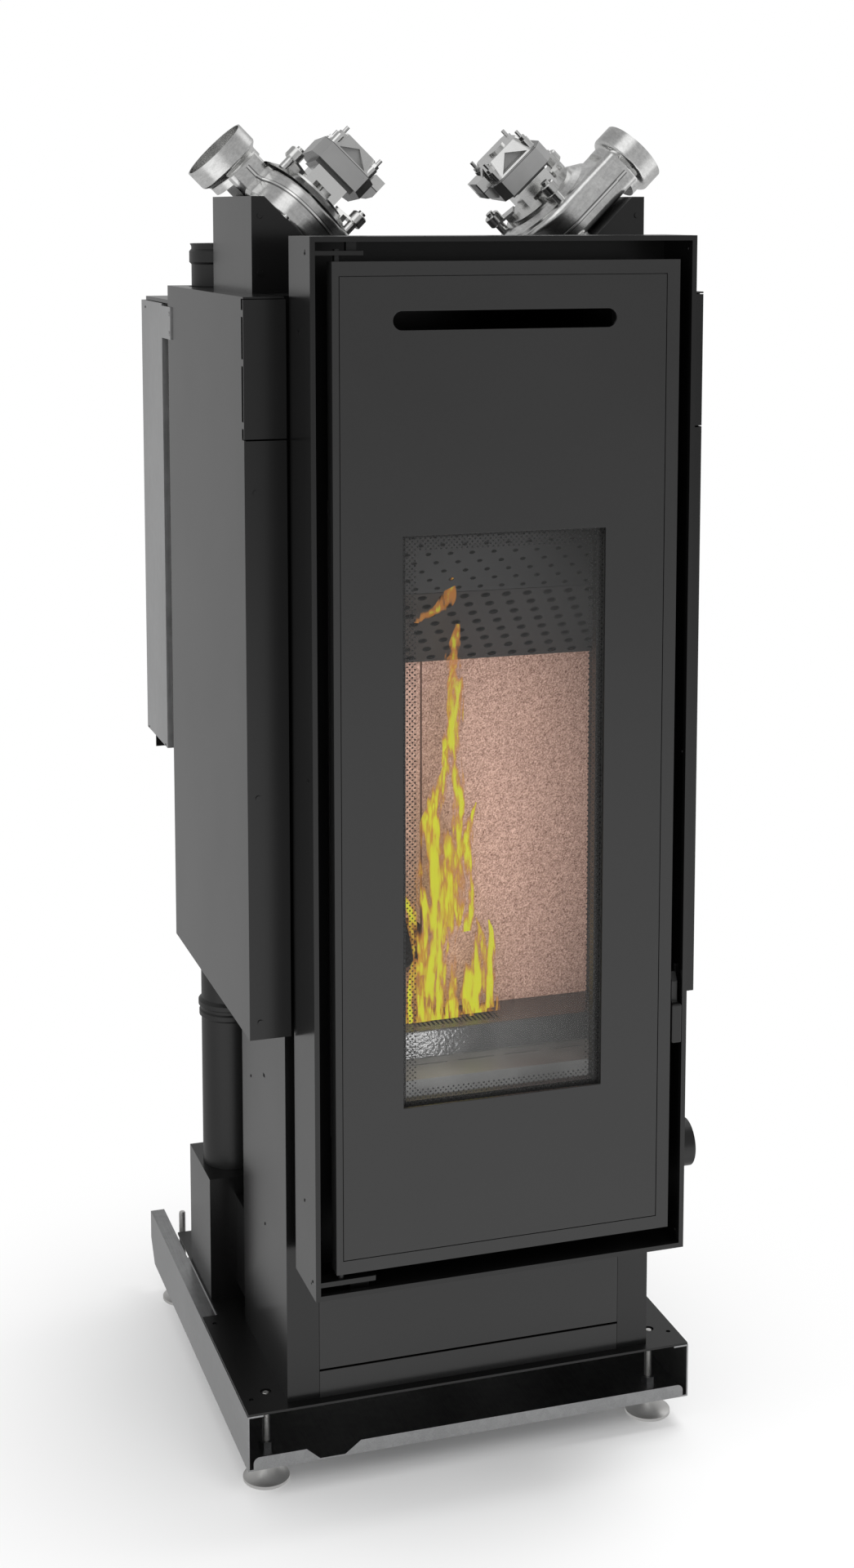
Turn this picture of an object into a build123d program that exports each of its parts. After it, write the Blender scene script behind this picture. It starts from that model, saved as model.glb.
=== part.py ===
from build123d import *
from math import atan2, degrees
import os

# Tall built-in pellet stove without its cladding, in millimetres.
# The stove stands on the plane z = 0 and faces -Y. x = 0 is its middle plane, y = 0 the front of its
# door frame. The pieces are shifted on export, so that the origin is the bottom centre of the whole.

# ---- Driving dimensions ----
SHEET = 2.0                 # body sheet
FRAME_W = 472.4             # front frame
FRAME_H = 1250.0
FRAME_D = 93.3
FRAME_Z = 303.0             # height of the frame's lower edge above the floor
FRAME_LIP = 6.0

DOOR_W = 425.5
DOOR_X = 2.0                # the door sits a little to the right of the middle
DOOR_Z0 = 332.5
DOOR_Z1 = 1525.0
DOOR_T = 24.0
PANEL_T = 4.0
BORDER = 16.0               # visible border of the door frame, narrower on the hinge side
BORDER_HINGE = 8.0
SEAM = 0.8                  # line between door frame and door panel
WINDOW_W = 250.8
WINDOW_X = -2.0
WINDOW_Z0 = 527.6
WINDOW_Z1 = 1210.8
SLOT_W = 273.8              # warm-air outlet in the door
SLOT_H = 22.0
SLOT_Z = 1457.8

TRAY_W = 590.0              # base tray and its levelling feet
TRAY_Y0 = 107.5
TRAY_Y1 = 719.0
TRAY_Z = 41.0
RAIL_TOP = 112.0
RAIL_FLANGE = 20.0
PLATE_T = 3.0
PLATE_Y1 = 370.0
ROD_X = 260.0
ROD_Y = (157.0, 660.0)
ROD_R = 4.9
ROD_TOP = (114.0, 132.0)
FOOT_R = 29.5
THREAD_GAP = 0.06

BODY_X = 241.0              # half width of the body
BODY_Y0 = 121.0
BODY_Y1 = 347.0
BODY_TOP = 1481.0
POST = 41.0                 # front return of a side panel
COVER_X = 290.0             # side covers
COVER_Y0 = 97.0
COVER_Y1 = 527.0
COVER_Z0 = 595.0
COVER_SEAM = 1317.0
COVER_Z1 = 1483.0

HOPPER_Y0 = 529.0
HOPPER_Y1 = 700.0
HOPPER_Z0 = 848.0
HOPPER_Z1 = 1458.0
BIN_Z0 = 1200.0             # joint between the straight bin and its funnel

FIRE_X = 190.0              # firebox
FIRE_Y0 = 36.0
FIRE_Y1 = 223.0
FIRE_Z0 = 506.0
FIRE_Z1 = 1234.0
FIRE_T = 3.0
HEARTH_Z = 543.0
BURNER_Z = 569.0
BOARD_Z1 = 1022.0
BOARD_T = 15.0
BOARD_SEAM_X = -40.0
CHUTE_X = -68.0
CHUTE_Z = 656.0
CHUTE_R = 37.0

PIPE_R = 40.0               # flue pipe
PIPE_X = -226.0
PIPE_Y = 477.0
PIPE_TOP = 1539.0
SOCKET_R = 40.2             # inside of the socket for the next pipe
BOX_Z1 = 285.0              # smoke-fan box under the pipe
BOX_X0 = -272.0
BOX_Y = (414.0, 540.0)

AUGER_Z = 803.0
AUGER_R = 22.0

PLENUM_X = 254.0            # warm-air boxes that carry the blowers
PLENUM_Y = (200.0, 408.0)
PLENUM_TOP = 1599.0
PLENUM_RISE = 1361.0        # height of the slanted wall, continued to x = 0
FAN_X = 195.2
FAN_Y = 304.0
SPIGOT_R = 44.0             # blower outlet
SPIGOT_END = 122.0
SPIGOT_START = 98.0
SPIGOT_Y = -38.0
SPIGOT_Z = 21.0

INTAKE_R = 31.0             # combustion-air spigot
INTAKE_Y = 152.0
INTAKE_Z = 370.0
INTAKE_END = 308.0

# The bottom centre of the whole becomes the origin.
LATCH_FRONT = -2.0
SPIGOT_REACH = FAN_X + (SPIGOT_END + SPIGOT_R - SPIGOT_Z) * 0.5 ** 0.5
CENTRE_X = (INTAKE_END - SPIGOT_REACH) / 2
CENTRE_Y = (LATCH_FRONT + TRAY_Y1) / 2


def block(x0, x1, y0, y1, z0, z1):
    """Box given by its faces."""
    middle = Pos((x0 + x1) / 2, (y0 + y1) / 2, (z0 + z1) / 2)
    return middle * Box(abs(x1 - x0), abs(y1 - y0), abs(z1 - z0))


def rod(x, y, z0, z1, r):
    """Upright cylinder."""
    return Pos(x, y, (z0 + z1) / 2) * Cylinder(r, z1 - z0)


def rod_y(x, z, y0, y1, r):
    """Cylinder along Y."""
    return Pos(x, (y0 + y1) / 2, z) * Rot(90, 0, 0) * Cylinder(r, y1 - y0)


def rod_x(y, z, x0, x1, r):
    """Cylinder along X."""
    return Pos((x0 + x1) / 2, y, z) * Rot(0, 90, 0) * Cylinder(r, x1 - x0)


def ring(x0, x1, y0, y1, z0, z1, wall):
    """Rectangular frame in the XZ plane, with walls of one width."""
    hole = block(x0 + wall, x1 - wall, y0 - 1, y1 + 1, z0 + wall, z1 - wall)
    return block(x0, x1, y0, y1, z0, z1) - hole


def save(name, *solids):
    """Write one node, moved to the origin of the whole."""
    shape = Compound(children=[Pos(-CENTRE_X, -CENTRE_Y, 0) * s for s in solids])
    parts = shape.solids()
    export_step(parts[0] if len(parts) == 1 else Compound(children=list(parts)), f"parts/{name}.step")


# ---- Base: feet, tray, top plate ----
def foot(x, y, top):
    """Conical levelling foot turned in one piece with its threaded rod."""
    profile = make_face([
        Line((0, 0), (FOOT_R - 1, 0)),
        Line((FOOT_R - 1, 0), (FOOT_R, 1)),
        Line((FOOT_R, 1), (FOOT_R, 5)),
        ThreePointArc((FOOT_R, 5), (18, 14), (11, 32)),
        Line((11, 32), (ROD_R, 34)),
        Line((ROD_R, 34), (ROD_R, top - 1)),
        Line((ROD_R, top - 1), (ROD_R - 1, top)),
        Line((ROD_R - 1, top), (0, top)),
        Line((0, top), (0, 0)),
    ])
    return Pos(x, y, 0) * revolve(Plane.XZ * profile, Axis.Z)


def hex_nut(x, y, z, height):
    """Hexagon weld nut on the tray floor that the rod runs in."""
    body = extrude(RegularPolygon(9.5, 6), height)
    body -= Pos(0, 0, height / 2) * Cylinder(ROD_R + THREAD_GAP, height + 2)
    return Pos(x, y, z) * body


def rod_places():
    """Position and top of the four rods."""
    return [(side * ROD_X, y, top) for y, top in zip(ROD_Y, ROD_TOP) for side in (-1, 1)]


def base_tray():
    """Galvanised tray: floor, two side rails with inward flanges, front and rear lips."""
    half = TRAY_W / 2
    tray = block(-half, half, TRAY_Y0, TRAY_Y1, TRAY_Z, TRAY_Z + SHEET)
    for side in (-1, 1):
        inner = side * (half - SHEET)
        tray += block(side * half, inner, TRAY_Y0, TRAY_Y1, TRAY_Z, RAIL_TOP)
        tray += block(side * half, side * (half - RAIL_FLANGE), TRAY_Y0, TRAY_Y1, RAIL_TOP - SHEET, RAIL_TOP)
    lip_h = 17.0
    lip_half = half - 7
    lip = Pos(0, 0, TRAY_Z + lip_h / 2) * Box(2 * lip_half, SHEET, lip_h)
    corners = lip.edges().filter_by(Axis.Y).sort_by(Axis.Z)[-2:]
    lip = fillet(corners, 8)
    scoop = Plane.XZ * make_face(Polyline((-224, TRAY_Z + 20), (-202, TRAY_Z + 1), (-172, TRAY_Z + 1),
                                          (-146, TRAY_Z + 20), close=True))
    front = Pos(0, TRAY_Y0 + SHEET / 2, 0) * (lip - extrude(scoop, 10, both=True))
    rear = Pos(0, TRAY_Y1 - SHEET / 2, 0) * lip
    tray += front + rear
    foot_cut = Plane.YZ * make_face(Polyline((TRAY_Y1 - 26, TRAY_Z - 1), (TRAY_Y1 + 1, TRAY_Z - 1),
                                             (TRAY_Y1 + 1, TRAY_Z + 32), close=True))
    tray -= extrude(foot_cut, half + 1, both=True)
    for x, y, _ in rod_places():
        tray -= rod(x, y, TRAY_Z - 1, TRAY_Z + SHEET + 1, ROD_R + 1)
    return tray


def base_plate():
    """Black plate on the rails, with holes for the rods and the fixing screws."""
    half = TRAY_W / 2 - 1
    inner = TRAY_W / 2 - RAIL_FLANGE - 2
    top = RAIL_TOP + PLATE_T
    plate = block(-half, half, TRAY_Y0, PLATE_Y1, RAIL_TOP, top)
    plate += block(-inner, inner, PLATE_Y1, 630, RAIL_TOP, top)
    for side in (-1, 1):
        plate -= rod(side * ROD_X, ROD_Y[0], RAIL_TOP - 1, top + 1, ROD_R + 2)
        for y in (TRAY_Y0 + 35, PLATE_Y1 - 22):
            plate -= rod(side * (half - 12), y, RAIL_TOP - 1, top + 1, 3)
    return plate


# ---- Body ----
def body_side(side):
    """Folded side panel with a front post and a rear return."""
    z0 = RAIL_TOP + PLATE_T
    panel = block(side * BODY_X, side * (BODY_X - SHEET), BODY_Y0, BODY_Y1, z0, BODY_TOP)
    panel += block(side * BODY_X, side * (BODY_X - POST), BODY_Y0, BODY_Y0 + SHEET, z0, BODY_TOP)
    panel += block(side * BODY_X, side * (BODY_X - 26), BODY_Y1 - SHEET, BODY_Y1, z0, BODY_TOP)
    if side < 0:
        panel -= block(-BODY_X - 1, -BODY_X + 3, 224, 234, 495, 499)
        panel -= block(-BODY_X + 4, -BODY_X + 30, BODY_Y1 - 5, BODY_Y1 + 5, 133, 261)
    else:
        panel -= rod_x(INTAKE_Y, INTAKE_Z, BODY_X - 5, BODY_X + 5, INTAKE_R - SHEET)
    return panel


def body_back():
    """Rear wall of the body, open where the feed tube and the smoke channel pass."""
    z0 = RAIL_TOP + PLATE_T
    wall = block(-BODY_X + 26, BODY_X - 26, BODY_Y1 - SHEET, BODY_Y1, z0, BODY_TOP)
    wall -= rod_y(CHUTE_X, AUGER_Z, BODY_Y1 - 5, BODY_Y1 + 5, AUGER_R + SHEET + 1)
    wall -= block(-BODY_X, -168, BODY_Y1 - 5, BODY_Y1 + 5, 132, 262)
    return wall


def lower_panel():
    """Removable inspection panel under the front frame."""
    edge = BODY_X - POST
    panel = block(-edge + 0.5, edge - 0.5, BODY_Y0, BODY_Y0 + SHEET, 152, FRAME_Z + 40)
    for x0 in (-edge + 0.5, edge - 0.5 - SHEET):
        panel += block(x0, x0 + SHEET, BODY_Y0, BODY_Y0 + 14, 152, FRAME_Z + 40)
    return panel


def plinth_strip():
    """Strip across the bottom of the front, folded to a shallow channel."""
    edge = BODY_X - POST
    z0 = RAIL_TOP + PLATE_T
    strip = block(-edge + 0.5, edge - 0.5, BODY_Y0, BODY_Y0 + SHEET, z0, 149)
    return strip + block(-edge + 0.5, edge - 0.5, BODY_Y0, BODY_Y0 + 14, z0, z0 + SHEET)


def top_plate():
    """Cover sheet between the side covers, open under the warm-air boxes and round the flue pipe."""
    z0 = BODY_TOP
    x = BODY_X - 5
    plate = block(-x, x, COVER_Y0 + 28, COVER_Y1, z0, z0 + SHEET)
    for side in (-1, 1):
        plate -= block(side * (x - 12), side * 135, PLENUM_Y[0] + 8, PLENUM_Y[1] - 8, z0 - 1, z0 + 5)
    return plate - rod(PIPE_X, PIPE_Y, z0 - 1, z0 + 5, PIPE_R + 5)


# ---- Front frame ----
def front_frame():
    """Deep welded frame round the door: thin sheet with a narrow front lip."""
    x = FRAME_W / 2
    z1 = FRAME_Z + FRAME_H
    frame = ring(-x, x, 0, 8, FRAME_Z, z1, FRAME_LIP)
    frame += ring(-x, x, 8, FRAME_D, FRAME_Z, z1, SHEET)
    for y, z in ((21, 14), (50, 106), (19, 625), (51, 1142), (21, 1234)):
        frame -= rod_x(y, FRAME_Z + z, -x - 5, -x + 5, 1.6)
        frame -= rod_x(y, FRAME_Z + z, x - 5, x + 5, 1.6)
    return frame


def recess_plate():
    """Black wall that closes the frame at the back and collars it to the body."""
    x = FRAME_W / 2 - SHEET
    z0 = FRAME_Z + SHEET
    z1 = FRAME_Z + FRAME_H - SHEET
    plate = block(-x, x, FRAME_D - SHEET, FRAME_D, z0, z1)
    plate += ring(-x + 10, x - 10, FRAME_D, BODY_Y0, z0 + 10, z1 - 80, SHEET)
    plate -= block(-FIRE_X - 0.5, FIRE_X + 0.5, FRAME_D - 5, FRAME_D + 5, FIRE_Z0 - 0.5, FIRE_Z1 + 0.5)
    return plate - block(-146, 142, FRAME_D - 5, FRAME_D + 5, 1428, 1488)


def outlet_duct():
    """Flat channel that leads warm air from the body to the slot in the door."""
    outer = block(-146, 142, 30, BODY_Y0 - 4, 1428, 1488)
    return outer - block(-146 + SHEET, 142 - SHEET, 29, BODY_Y0, 1428 + SHEET, 1488 - SHEET)


HINGE_X = -203.0
HINGE_Y = 9.0
PIN_R = 4.0
PIN_GAP = 0.05


def hinge_bracket(z0, z1, wall_z, x_end):
    """Angle on the frame with the hole that a hinge pin turns in."""
    leaf = block(-FRAME_W / 2 + FRAME_LIP, x_end, 1.5, 22, z0, z1)
    leaf = fillet(leaf.edges().filter_by(Axis.Z).sort_by(Axis.X)[-2:], 3)
    leaf += block(-FRAME_W / 2 + SHEET, -225, 9, 22, z0, z1)
    leaf -= rod(HINGE_X, HINGE_Y, z0 - 1, z1 + 1, PIN_R + PIN_GAP)
    return leaf + block(-190, x_end - 6, 14, 22, min(z0, wall_z), max(z1, wall_z))


def hinge_brackets():
    """Upper and lower hinge brackets."""
    upper = hinge_bracket(1532, 1537, FRAME_Z + FRAME_H - SHEET, -172)
    lower = hinge_bracket(319, 325, FRAME_Z + SHEET, -161)
    return upper, lower


def latch_strike():
    """Roller pin on the frame's inner side, which the latch hooks under."""
    wall = FRAME_W / 2 - SHEET
    base = block(wall - 3, wall, 28, 52, FRAME_Z + 320, FRAME_Z + 356)
    base = fillet(base.edges().filter_by(Axis.X), 4)
    return base + rod_x(40, FRAME_Z + 338, 219.5, wall - 2, 3)


# ---- Door ----
DOOR_X0 = DOOR_X - DOOR_W / 2
DOOR_X1 = DOOR_X + DOOR_W / 2
LATCH_Z = FRAME_Z + 331
LATCH_Y = 22.0
LATCH_PIN_R = 3.0


def door_border():
    """Outer door frame with a rebate for the front panel."""
    border = block(DOOR_X0, DOOR_X1, 0, DOOR_T - 3, DOOR_Z0, DOOR_Z1)
    border -= block(DOOR_X0 + BORDER_HINGE, DOOR_X1 - BORDER, -1, PANEL_T, DOOR_Z0 + BORDER, DOOR_Z1 - BORDER)
    border -= block(DOOR_X0 + 22, DOOR_X1 - 24, PANEL_T - 1, DOOR_T, DOOR_Z0 + 24, DOOR_Z1 - 24)
    for z0 in (DOOR_Z0, DOOR_Z1 - 16):
        border -= rod(HINGE_X, HINGE_Y, z0 - 1, z0 + 17, PIN_R)
    return border - rod_x(LATCH_Y - 5, LATCH_Z, DOOR_X1 - 14, DOOR_X1 + 1, LATCH_PIN_R)


def door_panel():
    """Front panel, flush in its frame, with the window and the warm-air slot."""
    x0 = DOOR_X0 + BORDER_HINGE + SEAM
    x1 = DOOR_X1 - BORDER - SEAM
    panel = block(x0, x1, 0, PANEL_T, DOOR_Z0 + BORDER + SEAM, DOOR_Z1 - BORDER - SEAM)
    panel -= block(WINDOW_X - WINDOW_W / 2, WINDOW_X + WINDOW_W / 2, -1, 9, WINDOW_Z0, WINDOW_Z1)
    slot = extrude(SlotOverall(SLOT_W, SLOT_H), 12)
    return panel - Pos(WINDOW_X, 9, SLOT_Z) * Rot(90, 0, 0) * slot


def door_back():
    """Rear sheet of the door, open behind the window and the slot."""
    back = block(DOOR_X0 + 1, DOOR_X1 - 1, DOOR_T - 3, DOOR_T, DOOR_Z0 + 1, DOOR_Z1 - 1)
    back -= block(-156, 152, DOOR_T - 5, DOOR_T + 5, 497, 1241)
    back -= block(-142, 138, DOOR_T - 5, DOOR_T + 5, 1440, 1476)
    return back - rod_x(LATCH_Y - 5, LATCH_Z, DOOR_X1 - 14, DOOR_X1 + 1, LATCH_PIN_R)


def inner_frame():
    """Steel frame that clamps the glass from behind."""
    x0, x1 = -153.0, 149.0
    frame = ring(x0, x1, 12, DOOR_T, 499, 1239, 32)
    return frame


def door_glass():
    """Ceramic glass pane."""
    return block(-140, 136, 6, 10, 512, 1226)


def glass_gasket():
    """Flat tape seals in front of and behind the glass."""
    front = ring(-140, 136, PANEL_T, 6, 512, 1226, 11)
    rear = ring(-140, 136, 10, 12, 512, 1226, 11)
    return front, rear


def glass_clips():
    """Angle clips with screws that hold the inner frame to the front panel."""
    clips = []
    for z in (560, 869, 1178):
        for x, way in ((-153, -1), (149, 1)):
            clip = block(x, x + way * 16, PANEL_T, 6, z - 12, z + 12)
            clip += block(x, x + way * 2, PANEL_T, DOOR_T, z - 12, z + 12)
            clip += rod_y(x + way * 9, z, 6, 9, 4)
            clips.append(clip)
    return clips


def door_seal():
    """Rope seal round the door opening, with rounded corners."""
    corner = 22
    outer = extrude(RectangleRounded(408, 752, corner + 8), 11.7)
    inner = extrude(RectangleRounded(384, 728, corner - 4), 11.7)
    rope = Pos(0, DOOR_T, (FIRE_Z0 + FIRE_Z1) / 2) * Rot(-90, 0, 0) * (outer - inner)
    edges = rope.edges().filter_by(lambda e: e.center().Y > DOOR_T + 11)
    return fillet(edges, 5)


def hinge_pins():
    """Pins fixed in the door, one up and one down."""
    lower = rod(HINGE_X, HINGE_Y, 317, DOOR_Z0 + 15, PIN_R)
    upper = rod(HINGE_X, HINGE_Y, DOOR_Z1 - 15, 1539, PIN_R)
    return lower, upper


def latch_pin():
    """Pivot pin of the latch, fixed in the door's edge."""
    pin = rod_x(LATCH_Y - 5, LATCH_Z, DOOR_X1 - 13, 228, LATCH_PIN_R)
    return pin + rod_x(LATCH_Y - 5, LATCH_Z, 227.3, 228.5, 4.5)


def door_latch():
    """Finger block and hook of the latch, on one stem that turns on the pin."""
    grip = block(216.6, 229.4, LATCH_FRONT, 10, FRAME_Z + 265, FRAME_Z + 314)
    grip = fillet(grip.edges(), 2.2)
    outline = Polyline((2, -33), (12, -33), (25, -9), (46, -6), (49, 0), (47, 3), (44, 3.3), (26, 3.3),
                       (24, 20), (14, 20), (8, 9), (8, -15), (2, -23), close=True)
    stem = Pos(219.5, 0, LATCH_Z) * extrude(Plane.YZ * make_face(outline), 7.3)
    stem = stem + grip
    return stem - rod_x(LATCH_Y - 5, LATCH_Z, 210, 240, LATCH_PIN_R + PIN_GAP)


# ---- Side covers ----
def cover_cap(side, z0, z1):
    """Horizontal sheet that closes a cover at one end."""
    cap = block(side * COVER_X, side * BODY_X, COVER_Y0, COVER_Y1, z0, z1)
    if side < 0:
        cap -= rod(PIPE_X, PIPE_Y, z0 - 1, z1 + 1, PIPE_R + 5)
    return cap


def cover_sheet(side):
    """C-shaped sheet round the side of the body; above the seam three tabs stand for its front fold."""
    x = side * COVER_X
    inner = side * (BODY_X - 2)
    y0, y1 = COVER_Y0 + SHEET, COVER_Y0 + 10
    sheet = block(x, x - side * SHEET, COVER_Y0, COVER_Y1, COVER_Z0, COVER_Z1)
    sheet += block(x, inner, COVER_Y1 - SHEET, COVER_Y1, COVER_Z0, COVER_Z1)
    sheet -= block(x - 3, x + 3, COVER_Y0 - 1, y1, COVER_SEAM, COVER_Z1 + 1)
    sheet += block(x, inner, COVER_Y0, y0, COVER_Z0, COVER_SEAM - 1)
    for z in (COVER_SEAM + 17, 1407, COVER_Z1 - 19):
        sheet += block(x, x - side * SHEET, y0, y1, z - 4, z + 4)
    for z in (616, 891, 1255):
        sheet -= rod_y(side * 276.7, z, COVER_Y0 - 5, COVER_Y0 + 5, 2)
    return sheet + cover_cap(side, COVER_Z0, COVER_Z0 + SHEET) + cover_cap(side, COVER_Z1 - SHEET, COVER_Z1)


def cover_plate(side):
    """Separate plate over the upper front of a cover, with a gap along its upper edge."""
    return block(side * COVER_X, side * (BODY_X - 2), COVER_Y0, COVER_Y0 + SHEET, COVER_SEAM + 1, COVER_Z1 - 3)


def cover_screws(side):
    """Pan-head screws in the front face of a cover."""
    screws = []
    for z in (616, 891, 1255):
        head = rod_y(side * 276.7, z, COVER_Y0 - 1.5, COVER_Y0, 3.5)
        screws.append(head + rod_y(side * 276.7, z, COVER_Y0, COVER_Y0 + 8, 2))
    return screws


# ---- Hopper ----
def hopper_side(side):
    """Outer side panel of the hopper, with a tab riveted over the side cover."""
    x = side * COVER_X
    out = side * (COVER_X + SHEET)
    panel = block(x, out, 559, HOPPER_Y1, HOPPER_Z0, HOPPER_Z1)
    panel += block(x, out, 503, 560, HOPPER_Z1 - 46, HOPPER_Z1 - 3)
    panel += block(x, x - side * 12, 559, 561, HOPPER_Z0, HOPPER_Z1 - 4)
    panel += block(x, x - side * 14, 559, HOPPER_Y1 - SHEET, HOPPER_Z0, HOPPER_Z0 + SHEET)
    panel += block(x, x - side * 14, 559, HOPPER_Y1 - 20, HOPPER_Z1 - 4, HOPPER_Z1 - 2)
    for z in (HOPPER_Z1 - 12, HOPPER_Z1 - 38):
        panel += rod_x(510, z, min(out, out + side), max(out, out + side), 3)
    return panel


def vent_strip(side):
    """Perforated strip between side cover and hopper."""
    x = side * (COVER_X - 6)
    strip = block(x, x - side * SHEET, COVER_Y1, 559, HOPPER_Z0, HOPPER_Z1 - 4)
    for row in range(12):
        strip -= block(x - 4, x + 4, 538, 550, HOPPER_Z0 + 30 + row * 44, HOPPER_Z0 + 52 + row * 44)
    return strip


def hopper_back():
    """Rear sheet of the hopper, folded inwards at its sides."""
    half = COVER_X
    back = block(-half, half, HOPPER_Y1 - SHEET, HOPPER_Y1, HOPPER_Z0 + SHEET, HOPPER_Z1)
    for side in (-1, 1):
        x = side * half
        back += block(x, x - side * SHEET, HOPPER_Y1 - 20, HOPPER_Y1, HOPPER_Z0 + SHEET, HOPPER_Z1)
    return back


def funnel(inset):
    """Four-sided funnel over a straight throat, reduced by inset on every wall."""
    low = 900.0
    mouth = Rectangle(540 - 2 * inset, HOPPER_Y1 - HOPPER_Y0 - 14 - 2 * inset)
    wide = Pos(0, (HOPPER_Y0 + HOPPER_Y1 - 6) / 2, BIN_Z0) * mouth
    neck = Pos(CHUTE_X, 600, low) * Rectangle(70 - 2 * inset, 90 - 2 * inset)
    throat = block(CHUTE_X - 35 + inset, CHUTE_X + 35 - inset, 555 + inset, 645 - inset, AUGER_Z, low)
    return loft([wide, neck]) + throat


def hopper_funnel():
    """Lower half of the pellet bin: a folded funnel that guides the pellets to the auger."""
    shell = funnel(0) - funnel(SHEET)
    shell += ring_flat(-274, 274, HOPPER_Y0, HOPPER_Y1 - 6, BIN_Z0 - SHEET, BIN_Z0, 6)
    return shell - rod_y(CHUTE_X, AUGER_Z, 500, 700, AUGER_R + SHEET)


def hopper_bin():
    """Upper half of the pellet bin: straight walls with a flange at each end."""
    walls = ring_flat(-270, 270, HOPPER_Y0 + 4, HOPPER_Y1 - 10, BIN_Z0, HOPPER_Z1, SHEET)
    walls += ring_flat(-274, 274, HOPPER_Y0, HOPPER_Y1 - 6, BIN_Z0, BIN_Z0 + SHEET, 6)
    return walls + ring_flat(-287, 287, HOPPER_Y0, HOPPER_Y1 - 7, HOPPER_Z1 - 2, HOPPER_Z1, 18)


def ring_flat(x0, x1, y0, y1, z0, z1, wall):
    """Rectangular frame in the XY plane."""
    return block(x0, x1, y0, y1, z0, z1) - block(x0 + wall, x1 - wall, y0 + wall, y1 - wall, z0 - 1, z1 + 1)


LID_Y = HOPPER_Y1 - 6
LID_Z = HOPPER_Z1 + 5


def hopper_lid():
    """Lid with a folded rim and two knuckles on the rear hinge pin."""
    z0 = HOPPER_Z1 + 0.5
    lid = block(-288, 288, HOPPER_Y0 + 1, LID_Y - 7, z0 + 3, z0 + 5)
    lid += ring_flat(-288, 288, HOPPER_Y0 + 1, LID_Y - 7, z0, z0 + 3, SHEET)
    for x in (-200, 200):
        lid += rod_x(LID_Y, LID_Z, x - 20, x + 20, 4)
        lid += block(x - 20, x + 20, LID_Y - 10, LID_Y, z0 + 3, z0 + 5)
    for x in (-200, 200):
        lid -= rod_x(LID_Y, LID_Z, x - 21, x + 21, 2 + PIN_GAP)
    pull = block(-40, 40, HOPPER_Y0 - 9, HOPPER_Y0 + 2, z0 + 3, z0 + 5)
    return lid + fillet(pull.edges().filter_by(Axis.Z).sort_by(Axis.Y)[:2], 6)


def lid_hinge():
    """Fixed knuckles and pins of the lid hinge."""
    halves = []
    for x in (-200, 200):
        pin = rod_x(LID_Y, LID_Z, x - 36, x + 36, 2)
        for end in (x - 28.5, x + 28.5):
            pin += rod_x(LID_Y, LID_Z, end - 7.5, end + 7.5, 4)
            pin += block(end - 7.5, end + 7.5, LID_Y, LID_Y + 4, HOPPER_Z1 - 12, LID_Z)
        pin += block(x - 36, x + 36, HOPPER_Y1 - 4, HOPPER_Y1 - 2, HOPPER_Z1 - 20, HOPPER_Z1 - 6)
        halves.append(pin)
    return halves


def rear_posts():
    """Two channel posts from the tray floor, joined by the cross rail that the hopper stands on."""
    posts = block(-COVER_X, COVER_X, 650, 690, HOPPER_Z0 - SHEET, HOPPER_Z0)
    posts += block(-COVER_X, COVER_X, 650, 652, HOPPER_Z0 - 18, HOPPER_Z0)
    for side in (-1, 1):
        post = block(side * 130, side * 170, 650, 690, TRAY_Z + SHEET, HOPPER_Z0 - 1)
        posts += post - block(side * 128, side * 168, 652, 688, TRAY_Z, HOPPER_Z0)
    return posts


# ---- Pellet feed ----
def feed_tube():
    """Auger tube and the chute that drops the pellets into the fire."""
    chute_line = Plane(origin=(CHUTE_X, 222, CHUTE_Z), z_dir=(0, 0.62, 1.0))
    outer = rod_y(CHUTE_X, AUGER_Z, 262, 656, AUGER_R + SHEET)
    outer += chute_line * Pos(0, 0, 43) * Cylinder(CHUTE_R - 6, 188)
    bore = rod_y(CHUTE_X, AUGER_Z, 264, 657, AUGER_R)
    bore += chute_line * Pos(0, 0, 43) * Cylinder(CHUTE_R - 8, 186)
    tube = outer - bore
    tube -= block(CHUTE_X - 33, CHUTE_X + 33, 557, 643, AUGER_Z + 10, AUGER_Z + 60)
    return tube & block(-200, 100, FIRE_Y1, 660, 500, 900)


def auger_screw():
    """Auger: shaft with one continuous helical flight."""
    flight_len = 300.0
    pitch = 37.5
    helix = Helix(pitch, flight_len, 12)
    start = helix @ 0
    section = Plane(origin=start, x_dir=(1, 0, 0), z_dir=helix % 0) * Pos(1.5, 0) * Rectangle(15, 2.4)
    flight = sweep(section, path=helix, is_frenet=True)
    shaft = Pos(0, 0, 165) * Cylinder(7, 390)
    return Pos(CHUTE_X, 640, AUGER_Z) * Rot(90, 0, 0) * (shaft + flight)


def auger_gearmotor():
    """Gearbox and motor on the rear end of the auger tube."""
    gearbox = block(CHUTE_X - 32, CHUTE_X + 32, 656, 684, AUGER_Z - 60, AUGER_Z + 30)
    gearbox = fillet(gearbox.edges().filter_by(Axis.Y), 8)
    motor = rod_y(CHUTE_X, AUGER_Z - 32, 684, 716, 24)
    gearbox += motor
    return gearbox - rod_y(CHUTE_X, AUGER_Z, 655, 672, 7 + PIN_GAP)


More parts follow.
